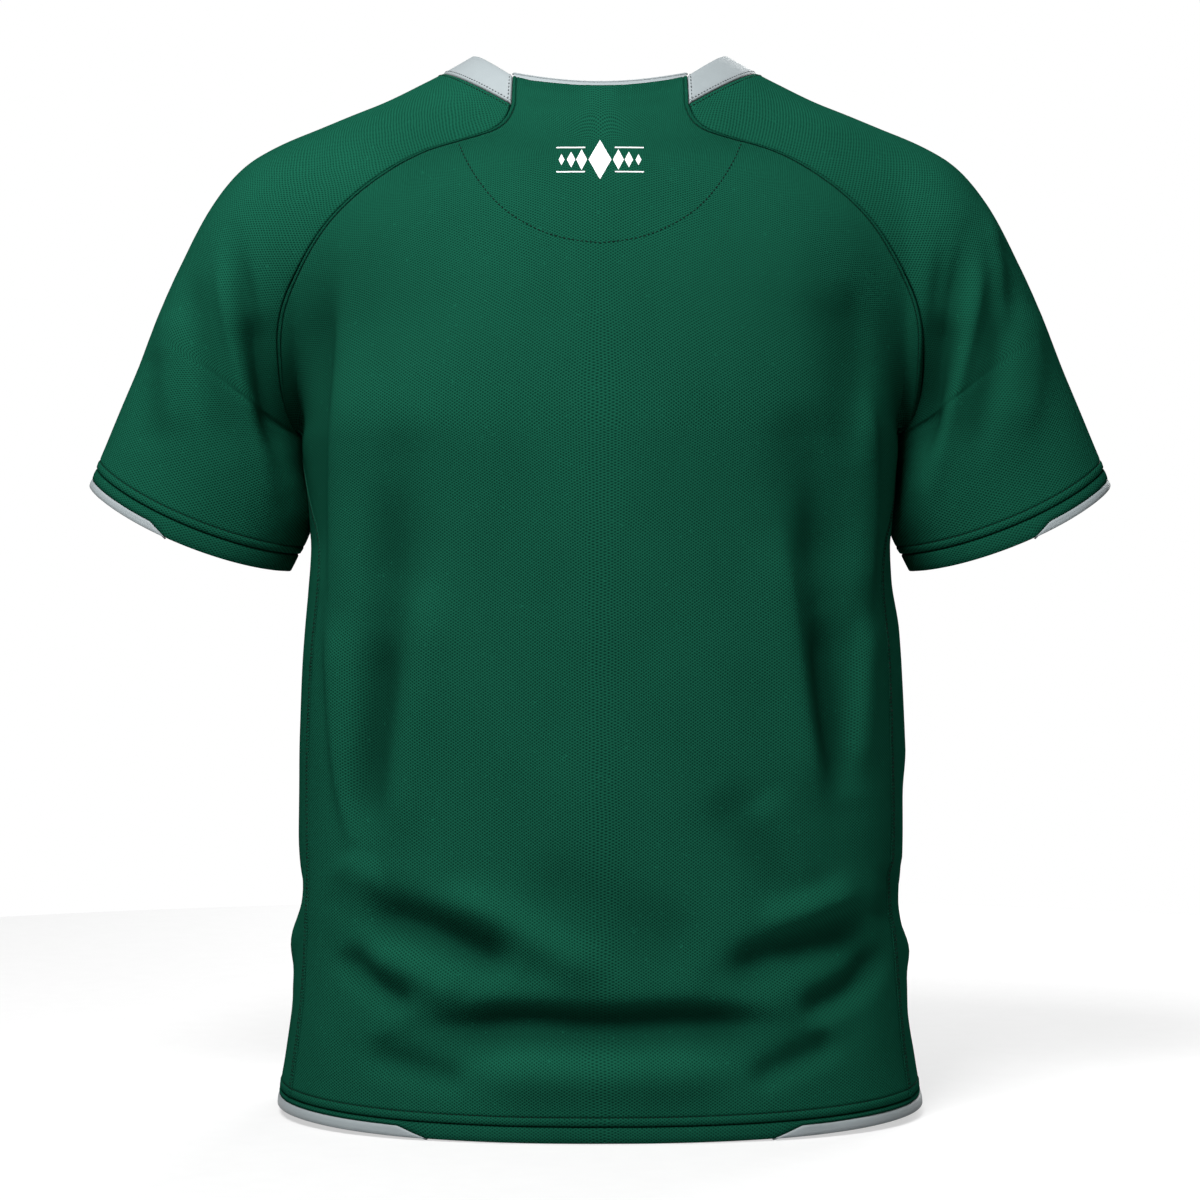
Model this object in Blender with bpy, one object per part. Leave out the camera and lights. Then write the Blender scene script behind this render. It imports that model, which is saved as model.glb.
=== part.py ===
"""Short-sleeved football jersey, hollow, filled out as if worn, with open neck, cuffs and hem.

Frame: +Z is up, the front of the jersey faces -Y, its left sleeve points along +X.
The origin lies between the shoulders, inside the open neck, level with the nape.
Every cloth piece lies on one common form and is a shell of even thickness.
"""
import math

import bpy
import numpy as np

# --- cloth -----------------------------------------------------------------------------------
WALL = 0.0015  # thickness of the knit
SEAM_GAP = 0.0003  # clearance between neighbouring pieces

# --- body, metres ----------------------------------------------------------------------------
UNDERARM_X = 0.2050
UNDERARM_Z = -0.2350
HEM_SIDE_Z = -0.6868
TAIL_DROP = 0.0055  # the hem hangs this much lower at centre back
FRONT_DROP = 0.0020
ROUNDNESS = 2.5  # exponent of the body's oval sections
# height, half width, half depth behind, half depth in front
BODY_SECTIONS = (
    (-0.695, 0.2225, 0.150, 0.147),
    (-0.655, 0.2158, 0.149, 0.146),
    (-0.585, 0.2088, 0.145, 0.144),
    (-0.450, 0.2062, 0.139, 0.141),
    (-0.380, 0.2034, 0.138, 0.141),
    (-0.298, 0.1990, 0.139, 0.143),
    (-0.235, 0.2050, 0.140, 0.143),
)
SIDE_SEAM_ANGLE = math.radians(21.0)  # the side seams lie behind the middle of each side
SIDE_SEAM_TURN = 0.10  # height below the underarm over which the seam moves back

# --- shoulders and sleeves -------------------------------------------------------------------
# outline from above the neck over the shoulder to a little beyond the cuff, (x, z)
SHOULDER_LINE = (
    (0.0000, 0.0560),
    (0.0220, 0.0550),
    (0.0450, 0.0503),
    (0.0670, 0.0405),
    (0.0880, 0.0286),
    (0.1435, -0.0014),
    (0.2050, -0.0258),
    (0.2394, -0.0427),
    (0.2636, -0.0690),
    (0.2864, -0.1104),
    (0.3215, -0.1932),
    (0.3512, -0.2645),
    (0.3573, -0.2795),
)
# outline from the underarm down the inside of the sleeve to a little beyond the cuff, (x, z)
UNDERARM_LINE = (
    (UNDERARM_X, UNDERARM_Z),
    (0.2048, -0.2620),
    (0.2012, -0.2980),
    (0.2075, -0.3130),
    (0.2135, -0.3250),
    (0.2203, -0.3384),
)
CUFF_MARGIN = 0.0150  # the two outlines reach this far beyond the cuff
CUFF_SAG = 0.0110  # the cuff hangs this much lower behind and in front than at its two sides
SLEEVE_FALL = (0.405, -0.914)  # direction in which the sleeve falls
SLEEVE_DEPTH_TOP = 0.074  # half depth of the sleeve at the armhole
SLEEVE_DEPTH_CUFF = 0.055
NECK_DEPTH = 0.030
SHOULDER_FALL = 1.8  # how soon the back curves forward towards the shoulders

# --- seams, (x, z) ---------------------------------------------------------------------------
RAGLAN_BACK = (
    (0.0589, -0.0170),
    (0.0634, -0.0289),
    (0.0838, -0.0396),
    (0.1161, -0.0482),
    (0.1524, -0.0686),
    (0.1823, -0.0959),
    (0.2014, -0.1251),
    (0.2142, -0.1601),
    (0.2140, -0.1880),
    (0.2105, -0.2120),
    (UNDERARM_X, UNDERARM_Z),
)
RAGLAN_FRONT = (
    (0.0850, -0.0300),
    (0.1010, -0.0490),
    (0.1350, -0.0700),
    (0.1700, -0.0990),
    (0.1960, -0.1330),
    (0.2100, -0.1700),
    (0.2110, -0.2050),
    (UNDERARM_X, UNDERARM_Z),
)
ARMHOLE_TOP = 0.79  # station on the shoulder line across from the underarm
NECK_SIDE_X = 0.1090  # outer edge of the collar on the shoulder
COLLAR_TOP_X = 0.0880  # upper edge of the collar on the shoulder
COLLAR_END_TOP = (0.0585, 0.0040)  # upper back corner of the grey collar
NAPE_EDGE_Z = -0.0045  # upper edge of the collar at centre back
NAPE_BASE_Z = -0.0270
V_POINT_Z = -0.1450  # lowest point of the V in front
V_INNER_Z = -0.1030
COLLAR_FRONT_INNER = (0.0649, -0.0151)

# --- bands -----------------------------------------------------------------------------------
HEM_BAND = 0.0105
HEM_INSET = 0.0070
CUFF_BAND = 0.0130
CUFF_INSET = 0.0055
FACING_RISE = 0.0018  # the facing shows this much above the nape
FACING_HEIGHT = 0.0150

# --- density ---------------------------------------------------------------------------------
BODY_COLUMNS = 22
BODY_ROWS = 15
RAGLAN_ROWS = 10
SLEEVE_COLUMNS = 22
SLEEVE_ROWS = 4
INSET_COLUMNS = {1: 6, -1: 8}  # the hem insets end between this column and the next
CUFF_COLUMN = 6  # the cuff insets end here, counted from the underarm
CUFF_INSET_END = (math.radians(75.0), math.radians(86.0))  # slanted ends of the cuff insets

# --- largest folds: side (1 behind, -1 in front), depth, half width, points (x, z) -----------
FOLDS = (
    (1, -0.011, 0.0160, ((0.2360, -0.1350), (0.2300, -0.1600), (0.2230, -0.1850), (0.2170, -0.2080))),
    (1, -0.011, 0.0160, ((-0.2360, -0.1350), (-0.2300, -0.1600), (-0.2230, -0.1850), (-0.2170, -0.2080))),
    (-1, -0.010, 0.0160, ((0.2360, -0.1350), (0.2300, -0.1600), (0.2230, -0.1850), (0.2170, -0.2080))),
    (-1, -0.010, 0.0160, ((-0.2360, -0.1350), (-0.2300, -0.1600), (-0.2230, -0.1850), (-0.2170, -0.2080))),
    (1, -0.0055, 0.0200, ((0.1480, -0.3300), (0.1470, -0.4050), (0.1560, -0.4900))),
    (1, -0.0050, 0.0200, ((-0.1480, -0.3200), (-0.1540, -0.3900), (-0.1600, -0.4650))),
    (1, -0.0075, 0.0170, ((0.1600, -0.5480), (0.1000, -0.5640), (0.0500, -0.5820))),
    (1, -0.0085, 0.0190, ((0.1100, -0.6260), (0.0500, -0.6210), (-0.0130, -0.6210), (-0.0860, -0.6240))),
    (1, -0.0060, 0.0170, ((-0.0860, -0.5860), (-0.1150, -0.5780), (-0.1650, -0.5700))),
    (1, 0.0050, 0.0220, ((0.0900, -0.6560), (-0.0100, -0.6560), (-0.0900, -0.6540))),
    (1, -0.0050, 0.0260, ((0.0500, -0.5300), (-0.0320, -0.5560), (-0.0760, -0.5700))),
    (-1, -0.0060, 0.0200, ((0.1300, -0.5600), (0.0500, -0.5900), (-0.0400, -0.6000))),
    (-1, -0.0055, 0.0200, ((-0.1400, -0.4300), (-0.1350, -0.5000), (-0.1450, -0.5700))),
    (-1, -0.0050, 0.0220, ((0.1350, -0.3200), (0.1300, -0.4000), (0.1400, -0.4700))),
    (-1, -0.0050, 0.0190, ((0.0600, -0.6450), (-0.0200, -0.6500), (-0.1000, -0.6400))),
)

GREEN = (0.0095, 0.0900, 0.0520, 1.0)
GREEN_BAND = (0.0085, 0.0820, 0.0470, 1.0)
GREY = (0.560, 0.615, 0.640, 1.0)


def spline(knots, values):
    """Natural cubic spline through the values at rising knots."""
    t = np.asarray(knots, dtype=float)
    v = np.asarray(values, dtype=float)
    n = len(t)
    h = np.diff(t)
    a = np.zeros((n, n))
    b = np.zeros(n)
    a[0, 0] = 1.0
    a[-1, -1] = 1.0
    for i in range(1, n - 1):
        a[i, i - 1] = h[i - 1]
        a[i, i] = 2.0 * (h[i - 1] + h[i])
        a[i, i + 1] = h[i]
        b[i] = 6.0 * ((v[i + 1] - v[i]) / h[i] - (v[i] - v[i - 1]) / h[i - 1])
    m = np.linalg.solve(a, b)

    def value(q):
        q = np.clip(np.asarray(q, dtype=float), t[0], t[-1])
        i = np.clip(np.searchsorted(t, q, side="right") - 1, 0, n - 2)
        d = h[i]
        left = t[i + 1] - q
        right = q - t[i]
        bend = (m[i] * left**3 + m[i + 1] * right**3) / (6.0 * d)
        return bend + (v[i] / d - m[i] * d / 6.0) * left + (v[i + 1] / d - m[i + 1] * d / 6.0) * right

    return value


def path(points, samples=400):
    """Dense smooth curve through (x, z) points, with the share of its length at every sample."""
    pts = np.asarray(points, dtype=float)
    knots = np.concatenate(([0.0], np.cumsum(np.hypot(*np.diff(pts, axis=0).T))))
    q = np.linspace(0.0, knots[-1], samples)
    x = spline(knots, pts[:, 0])(q)
    z = spline(knots, pts[:, 1])(q)
    run = np.concatenate(([0.0], np.cumsum(np.hypot(np.diff(x), np.diff(z)))))
    return run / run[-1], x, z, run[-1]


def on_path(curve, share):
    """(x, z) at a share of the curve's length."""
    return np.interp(share, curve[0], curve[1]), np.interp(share, curve[0], curve[2])


def smooth(q):
    q = np.clip(q, 0.0, 1.0)
    return q * q * (3.0 - 2.0 * q)


SHOULDER = path(SHOULDER_LINE, 900)
UNDERARM = path(UNDERARM_LINE)
BACK_SEAM = path(RAGLAN_BACK)
FRONT_SEAM = path(RAGLAN_FRONT)
HEIGHTS = [s[0] for s in BODY_SECTIONS]
WIDTH = spline(HEIGHTS, [s[1] for s in BODY_SECTIONS])
DEPTH_BACK = spline(HEIGHTS, [s[2] for s in BODY_SECTIONS])
DEPTH_FRONT = spline(HEIGHTS, [s[3] for s in BODY_SECTIONS])
SHOULDER_START = float(np.interp(UNDERARM_X, SHOULDER[1], SHOULDER[0]))


# --- the common form -------------------------------------------------------------------------
# Above the underarm the form is a fan of sections. Station 0 is the middle of the body, station
# 0.5 stands over the underarm and station 1 is the end of the sleeve. Every section runs from its
# inner point (level 0) to its outer point on the shoulder line (level 1).
def fan_ends(station):
    station = np.asarray(station, dtype=float)
    body = station <= 0.5
    x_body = 2.0 * station * UNDERARM_X
    share = np.clip(2.0 * station - 1.0, 0.0, 1.0)
    in_x, in_z = on_path(UNDERARM, share)
    out_x, out_z = on_path(SHOULDER, SHOULDER_START + share * (1.0 - SHOULDER_START))
    top_z = np.interp(x_body, SHOULDER[1], SHOULDER[2])
    return (
        np.where(body, x_body, in_x),
        np.where(body, UNDERARM_Z, in_z),
        np.where(body, x_body, out_x),
        np.where(body, top_z, out_z),
    )


def fan_depth(station, level, side):
    """Half depth of the form at a station and level; side is 1 behind and -1 in front."""
    x = np.clip(2.0 * station, 0.0, 1.0)
    deep = np.where(side > 0, float(DEPTH_BACK(UNDERARM_Z)), float(DEPTH_FRONT(UNDERARM_Z)))
    power = (2.0 / ROUNDNESS) * (1.0 + 0.75 * smooth(level / 0.35))
    trunk = np.clip(1.0 - x**ROUNDNESS, 0.0, 1.0) ** power
    fall = 1.0 - np.clip(level, 0.0, 1.0) ** SHOULDER_FALL
    towards_cuff = np.clip(2.0 * station - 1.0, 0.0, 1.0)
    arm = NECK_DEPTH + (SLEEVE_DEPTH_TOP - NECK_DEPTH) * smooth((x - 0.1) / 0.9)
    arm = arm + (SLEEVE_DEPTH_CUFF - SLEEVE_DEPTH_TOP) * smooth(towards_cuff)
    a = 1.5 - 0.5 * smooth(towards_cuff * 1.3)
    peak = (a / (a + 1.0)) ** a / (a + 1.0)
    tube = np.clip(level, 0.0, 1.0) ** a * (1.0 - np.clip(level, 0.0, 1.0)) / peak
    return np.sqrt(deep**2 * trunk * fall + arm**2 * tube)


def fan_find(x, z):
    """Station and level of an (x, z) position, x not negative."""
    low = np.where(z < UNDERARM_Z, 0.5, 0.0)
    high = np.ones_like(x)
    for _ in range(46):
        mid = 0.5 * (low + high)
        ix, iz, ox, oz = fan_ends(mid)
        beyond = (x - ix) * (oz - iz) - (z - iz) * (ox - ix) > 0.0
        low = np.where(beyond, mid, low)
        high = np.where(beyond, high, mid)
    station = 0.5 * (low + high)
    ix, iz, ox, oz = fan_ends(station)
    level = ((x - ix) * (ox - ix) + (z - iz) * (oz - iz)) / ((ox - ix) ** 2 + (oz - iz) ** 2)
    return station, np.clip(level, 0.0, 1.0)


def turn_of(point):
    """Angle of an (x, z) point round its section, from 0 on the shoulder line to 180 degrees."""
    _, level = fan_find(np.array([point[0]]), np.array([point[1]]))
    return float(np.arccos(2.0 * level[0] - 1.0))


def form_point(x, z, side):
    """Point of the upper form at (x, z), for either sign of x."""
    x = np.asarray(x, dtype=float)
    z = np.asarray(z, dtype=float)
    station, level = fan_find(np.abs(x), z)
    side = side + 0.0 * x
    y = side * fan_depth(station, level, side)
    return np.stack([x, y, z], axis=-1)


def body_point(z, angle):
    """Point of the lower body; the angle runs from 0 at the left side over 90 degrees behind."""
    c = np.cos(angle)
    s = np.sin(angle)
    deep = np.where(s >= 0.0, DEPTH_BACK(z), DEPTH_FRONT(z))
    x = WIDTH(z) * np.sign(c) * np.abs(c) ** (2.0 / ROUNDNESS)
    y = deep * np.sign(s) * np.abs(s) ** (2.0 / ROUNDNESS)
    return np.stack([x, y, z + 0.0 * x], axis=-1)


def hem_z(angle):
    s = np.sin(angle)
    return HEM_SIDE_Z - np.where(s > 0.0, TAIL_DROP, FRONT_DROP) * s * s


def side_angle(z):
    """Angle of the side seam at a height."""
    return SIDE_SEAM_ANGLE * smooth((UNDERARM_Z - z) / SIDE_SEAM_TURN)


def body_columns(z, side):
    """Angles of a panel's columns, from the left side seam to the right one."""
    start = side_angle(z)
    spread = np.linspace(0.0, 1.0, BODY_COLUMNS + 1)
    return start + (math.pi * side - 2.0 * start) * spread


# --- grids of the pieces -----------------------------------------------------------------------
def lower_rows(side):
    """Rows from the hem seam to the underarm."""
    rows = []
    for share in np.linspace(0.0, 1.0, BODY_ROWS + 1):
        low = HEM_SIDE_Z + HEM_BAND
        z_mean = low + share * (UNDERARM_Z - low)
        angle = body_columns(z_mean, side) if share < 1.0 else columns_at_underarm(side)
        z = hem_z(angle) + HEM_BAND
        rows.append(body_point(z + share * (UNDERARM_Z - z), angle))
    return rows


def columns_at_underarm(side):
    return math.pi * side * np.linspace(0.0, 1.0, BODY_COLUMNS + 1)


def across_columns(side, share):
    """Columns of an upper row as shares of its half width, spaced more evenly towards the neck."""
    c = np.cos(columns_at_underarm(side))
    oval = np.sign(c) * np.abs(c) ** (2.0 / ROUNDNESS)
    even = np.linspace(1.0, -1.0, BODY_COLUMNS + 1)
    return oval + 0.85 * float(smooth((1.0 - share) / 0.4)) * (even - oval)


def upper_rows(side, seam, edge_share):
    """Rows from above the underarm to the neck; edge_share is each column's share of the rise."""
    rows = []
    for share in np.linspace(1.0, 0.0, RAGLAN_ROWS + 1)[1:]:
        across = across_columns(side, share)
        x, z = on_path(seam, share)
        rise = 1.0 + (edge_share(across) - 1.0) * smooth(1.3 * (1.0 - share))
        rows.append(form_point(x * across, UNDERARM_Z + (z - UNDERARM_Z) * rise, side))
    return rows


def back_rise(across):
    base = (NAPE_BASE_Z - UNDERARM_Z) / (RAGLAN_BACK[0][1] - UNDERARM_Z)
    return base + (1.0 - base) * across**2


def front_rise(across):
    base = (V_POINT_Z - UNDERARM_Z) / (RAGLAN_FRONT[0][1] - UNDERARM_Z)
    return base + (1.0 - base) * np.abs(across) ** 1.15


def nape_rows():
    """The middle of the back collar, grown on to the back panel."""
    across = across_columns(1, 0.0)
    x0, z0 = RAGLAN_BACK[0]
    x1, z1 = COLLAR_END_TOP
    low = UNDERARM_Z + (z0 - UNDERARM_Z) * back_rise(across)
    high = NAPE_EDGE_Z + (z1 - NAPE_EDGE_Z) * across**2
    rows = []
    for share in (0.5, 1.0):
        x = (x0 + share * (x1 - x0)) * across
        rows.append(form_point(x, low + share * (high - low), 1))
    return rows


def ring(back, front, top, sag=0.0):
    """Ring over the shoulder line from a back end to a front end, all ends as (x, z)."""
    share = np.linspace(1.0, -1.0, SLEEVE_COLUMNS + 1)
    turn = np.where(share > 0.0, turn_of(back), turn_of(front))
    return ring_at(back, front, top, np.abs(share) * turn, np.sign(share), sag)


def ring_at(back, front, top, angle, side, sag):
    """Points of a ring at angles from the shoulder line, side 1 behind and -1 in front."""
    turn = np.where(side > 0.0, turn_of(back), turn_of(front))
    weight = (np.cos(angle) - np.cos(turn)) / (1.0 - np.cos(turn))
    end_x = np.where(side > 0.0, back[0], front[0])
    end_z = np.where(side > 0.0, back[1], front[1])
    x = end_x + (top[0] - end_x) * weight
    z = end_z + (top[1] - end_z) * weight
    drop = sag * np.sin(angle) ** 1.5
    return form_point(x + drop * SLEEVE_FALL[0], z + drop * SLEEVE_FALL[1], side)


def shoulder_at(station):
    _, _, x, z = fan_ends(station)
    return float(x), float(z)


def neck_ring():
    return ring(RAGLAN_BACK[0], RAGLAN_FRONT[0], shoulder_at(0.5 * NECK_SIDE_X / UNDERARM_X))


def cuff_ends(width):
    """Underarm end and shoulder end of the ring at a distance from the end of the sleeve."""
    width = width + CUFF_MARGIN
    inner = on_path(UNDERARM, 1.0 - width / UNDERARM[3])
    outer = shoulder_at(1.0 - 0.5 * width / (SHOULDER[3] * (1.0 - SHOULDER_START)))
    return (float(inner[0]), float(inner[1])), outer


def sleeve_rows():
    """Left sleeve, from the collar to the cuff seam."""
    neck_top = 0.5 * NECK_SIDE_X / UNDERARM_X
    rows = [neck_ring()]
    for share in np.linspace(0.0, 1.0, RAGLAN_ROWS + 1)[1:]:
        top = shoulder_at(neck_top + share * (ARMHOLE_TOP - neck_top))
        rows.append(ring(on_path(BACK_SEAM, share), on_path(FRONT_SEAM, share), top))
    end_share = 1.0 - (CUFF_BAND + CUFF_MARGIN) / UNDERARM[3]
    end_top = 1.0 - 0.5 * (CUFF_BAND + CUFF_MARGIN) / (SHOULDER[3] * (1.0 - SHOULDER_START))
    for share in np.linspace(0.0, 1.0, SLEEVE_ROWS + 1)[1:]:
        end = on_path(UNDERARM, share * end_share)
        top = shoulder_at(ARMHOLE_TOP + share * (end_top - ARMHOLE_TOP))
        rows.append(ring(end, end, top, share * CUFF_SAG))
    return rows


def cuff_rows():
    """Green band and grey inset of the left cuff."""
    seam_end, seam_top = cuff_ends(CUFF_BAND)
    line_end, line_top = cuff_ends(CUFF_INSET)
    edge_end, edge_top = cuff_ends(0.0)
    share = np.linspace(1.0, -1.0, SLEEVE_COLUMNS + 1)
    angle = np.abs(share) * math.pi
    side = np.sign(share)
    first = CUFF_COLUMN
    last = SLEEVE_COLUMNS - CUFF_COLUMN
    short, long = CUFF_INSET_END
    angle[[first, last]] = short
    angle[[first - 1, last + 1]] = long
    line = ring_at(line_end, line_end, line_top, angle, side, CUFF_SAG)
    low = ring_at(edge_end, edge_end, edge_top, angle, side, CUFF_SAG)
    low[first:last + 1] = line[first:last + 1]
    band = [ring(seam_end, seam_end, seam_top, CUFF_SAG), low]
    angle[[first, last]] = long
    edge = ring_at(edge_end, edge_end, edge_top, angle, side, CUFF_SAG)
    return band, [line[first:last + 1], edge[first:last + 1]]


def hem_band_rows(side):
    angle = body_columns(HEM_SIDE_Z, side)
    top = hem_z(angle) + HEM_BAND
    line = hem_z(angle) + HEM_INSET
    edge = hem_z(angle)
    k = np.arange(BODY_COLUMNS + 1)
    middle = (k > INSET_COLUMNS[side]) & (k < BODY_COLUMNS - INSET_COLUMNS[side])
    return [body_point(np.where(middle, edge, line), angle), body_point(top, angle)]


def hem_inset_rows():
    """Left grey inset, from behind round the side to the front."""
    upper = []
    lower = []
    for side in (1, -1):
        angle = body_columns(HEM_SIDE_Z, side)[:INSET_COLUMNS[side] + 2]
        kept = angle[:-1]
        ends = kept.copy()
        ends[-1] = angle[-1]
        top = body_point(hem_z(kept) + HEM_INSET, kept)
        low = body_point(hem_z(ends), ends)
        if side > 0:
            upper.extend(top[::-1])
            lower.extend(low[::-1])
        else:
            upper.extend(top[1:])
            lower.extend(low[1:])
    return [np.array(lower), np.array(upper)]


def front_neck_columns():
    """Columns of the front panel's neck edge on the left side, from the sleeve to the V."""
    across = across_columns(-1, 0.0)[:BODY_COLUMNS // 2 + 1]
    x = RAGLAN_FRONT[0][0] * across
    z = UNDERARM_Z + (RAGLAN_FRONT[0][1] - UNDERARM_Z) * front_rise(across)
    return across, x, z


def collar_rows():
    """Left collar, from its back end over the shoulder and down to the V."""
    base = neck_ring()
    edge = ring(COLLAR_END_TOP, COLLAR_FRONT_INNER, shoulder_at(0.5 * COLLAR_TOP_X / UNDERARM_X))
    side = np.sign(np.linspace(1.0, -1.0, SLEEVE_COLUMNS + 1))
    across, x, z = front_neck_columns()
    inner_x = COLLAR_FRONT_INNER[0] * across
    inner_z = V_INNER_Z + (COLLAR_FRONT_INNER[1] - V_INNER_Z) * np.abs(across) ** 1.15
    rows = []
    for share in (0.0, 0.5, 1.0):
        middle = base + share * (edge - base)
        over = form_point(middle[:, 0], middle[:, 2], side)
        if share == 0.0 or share == 1.0:
            over = middle
        low = form_point(x + share * (inner_x - x), z + share * (inner_z - z), -1)
        rows.append(np.concatenate([over, low[1:]]))
    return rows


def facing_rows():
    """Strip inside the nape, its upper edge a little above the collar's edge."""
    across = across_columns(1, 0.0)[2:-2]
    x1, z1 = COLLAR_END_TOP
    edge = NAPE_EDGE_Z + (z1 - NAPE_EDGE_Z) * across**2
    rows = []
    for rise in (FACING_RISE - FACING_HEIGHT, FACING_RISE):
        rows.append(form_point(x1 * across, edge + rise, 1))
    return rows


# --- shaping and building ------------------------------------------------------------------------
def line_distance(x, z, points):
    """Distance to a polyline and the share of its length at the nearest place."""
    best = np.full(x.shape, 1e9)
    where = np.zeros(x.shape)
    lengths = [math.dist(points[i], points[i + 1]) for i in range(len(points) - 1)]
    run = 0.0
    for i, length in enumerate(lengths):
        ax, az = points[i]
        bx, bz = points[i + 1]
        q = np.clip(((x - ax) * (bx - ax) + (z - az) * (bz - az)) / length**2, 0.0, 1.0)
        d = np.hypot(x - ax - q * (bx - ax), z - az - q * (bz - az))
        nearer = d < best
        where = np.where(nearer, (run + q * length) / sum(lengths), where)
        best = np.where(nearer, d, best)
        run += length
    return best, where


def fold_height(points):
    """Sum of the folds' heights at points of the form."""
    x, y, z = points[..., 0], points[..., 1], points[..., 2]
    total = np.zeros(x.shape)
    for side, height, width, line in FOLDS:
        distance, share = line_distance(x, z, line)
        fade = 0.35 + 0.65 * smooth(share / 0.3) * smooth((1.0 - share) / 0.3)
        facing = smooth((side * y + 0.004) / 0.03)
        total = total + height * fade * facing * np.exp(-((distance / width) ** 2))
    return total


def mirrored(rows):
    return [row * np.array([-1.0, 1.0, 1.0]) for row in rows]


def grid_normals(grid):
    """Sum of the face normals round every point of a grid."""
    a = grid[1:, 1:] - grid[:-1, :-1]
    b = grid[1:, :-1] - grid[:-1, 1:]
    face = np.cross(a, b)
    total = np.zeros_like(grid)
    total[:-1, :-1] += face
    total[1:, :-1] += face
    total[:-1, 1:] += face
    total[1:, 1:] += face
    return total


def key(point):
    return tuple(int(round(float(c) * 20000.0)) for c in point)


def shared_normals(grids, senses):
    """Unit normals, with pieces that meet at a seam sharing the same one there."""
    raw = {name: grid_normals(grid) * senses[name] for name, grid in grids.items()}
    pool = {}
    for name, grid in grids.items():
        for point, normal in zip(grid.reshape(-1, 3), raw[name].reshape(-1, 3)):
            spot = key(point)
            pool[spot] = pool.get(spot, np.zeros(3)) + normal
    result = {}
    for name, grid in grids.items():
        flat = np.array([pool[key(point)] for point in grid.reshape(-1, 3)])
        flat /= np.linalg.norm(flat, axis=1)[:, None]
        result[name] = flat.reshape(grid.shape)
    return result


def pulled_in(grid, amount):
    """The grid with every border moved inwards by the amount."""
    result = grid.copy()
    for axis in (0, 1):
        near = np.take(grid, 1, axis=axis) - np.take(grid, 0, axis=axis)
        far = np.take(grid, -2, axis=axis) - np.take(grid, -1, axis=axis)
        near = near / np.linalg.norm(near, axis=-1)[:, None] * amount
        far = far / np.linalg.norm(far, axis=-1)[:, None] * amount
        if axis == 0:
            result[0] += near
            result[-1] += far
        else:
            result[:, 0] += near
            result[:, -1] += far
    return result


def build_shell(name, outer, inner, material):
    rows, columns = outer.shape[:2]
    count = rows * columns
    points = np.concatenate([outer.reshape(-1, 3), inner.reshape(-1, 3)])
    faces = []
    for i in range(rows - 1):
        for j in range(columns - 1):
            a = i * columns + j
            b = a + 1
            c = b + columns
            d = a + columns
            faces.append((a, b, c, d))
            faces.append((count + a, count + d, count + c, count + b))
    border = [j for j in range(columns)]
    border += [i * columns + columns - 1 for i in range(1, rows)]
    border += [(rows - 1) * columns + j for j in range(columns - 2, -1, -1)]
    border += [i * columns for i in range(rows - 2, 0, -1)]
    for k, a in enumerate(border):
        b = border[(k + 1) % len(border)]
        faces.append((b, a, count + a, count + b))
    mesh = bpy.data.meshes.new(name)
    volume = 0.0
    for face in faces:
        p = [points[v] for v in face]
        volume += np.dot(p[0], np.cross(p[1], p[2])) + np.dot(p[0], np.cross(p[2], p[3]))
    if volume < 0.0:
        faces = [tuple(reversed(face)) for face in faces]
    halves = [(f[0], f[1], f[2]) for f in faces] + [(f[0], f[2], f[3]) for f in faces]
    mesh.from_pydata([tuple(p) for p in points], [], halves)
    mesh.materials.append(material)
    mesh.update()
    result = bpy.data.objects.new(name, mesh)
    bpy.context.scene.collection.objects.link(result)
    return result


def make_material(name, colour, roughness, sheen):
    material = bpy.data.materials.new(name)
    material.use_nodes = True
    shader = material.node_tree.nodes["Principled BSDF"]
    shader.inputs["Base Color"].default_value = colour
    shader.inputs["Roughness"].default_value = roughness
    shader.inputs["Sheen Weight"].default_value = sheen
    material.diffuse_color = colour
    return material


def outward_sense(grid):
    """1 if the grid's own normals point away from the inside of the jersey, else -1."""
    normals = grid_normals(grid)
    middle = grid.mean(axis=(0, 1))
    reach = max(abs(middle[0]) - 0.19, 0.0)
    hub = np.array([math.copysign(0.27, middle[0]) if reach > 0.0 else 0.0, 0.0, middle[2]])
    return 1.0 if float(np.sum(normals * (grid - hub))) > 0.0 else -1.0


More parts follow.
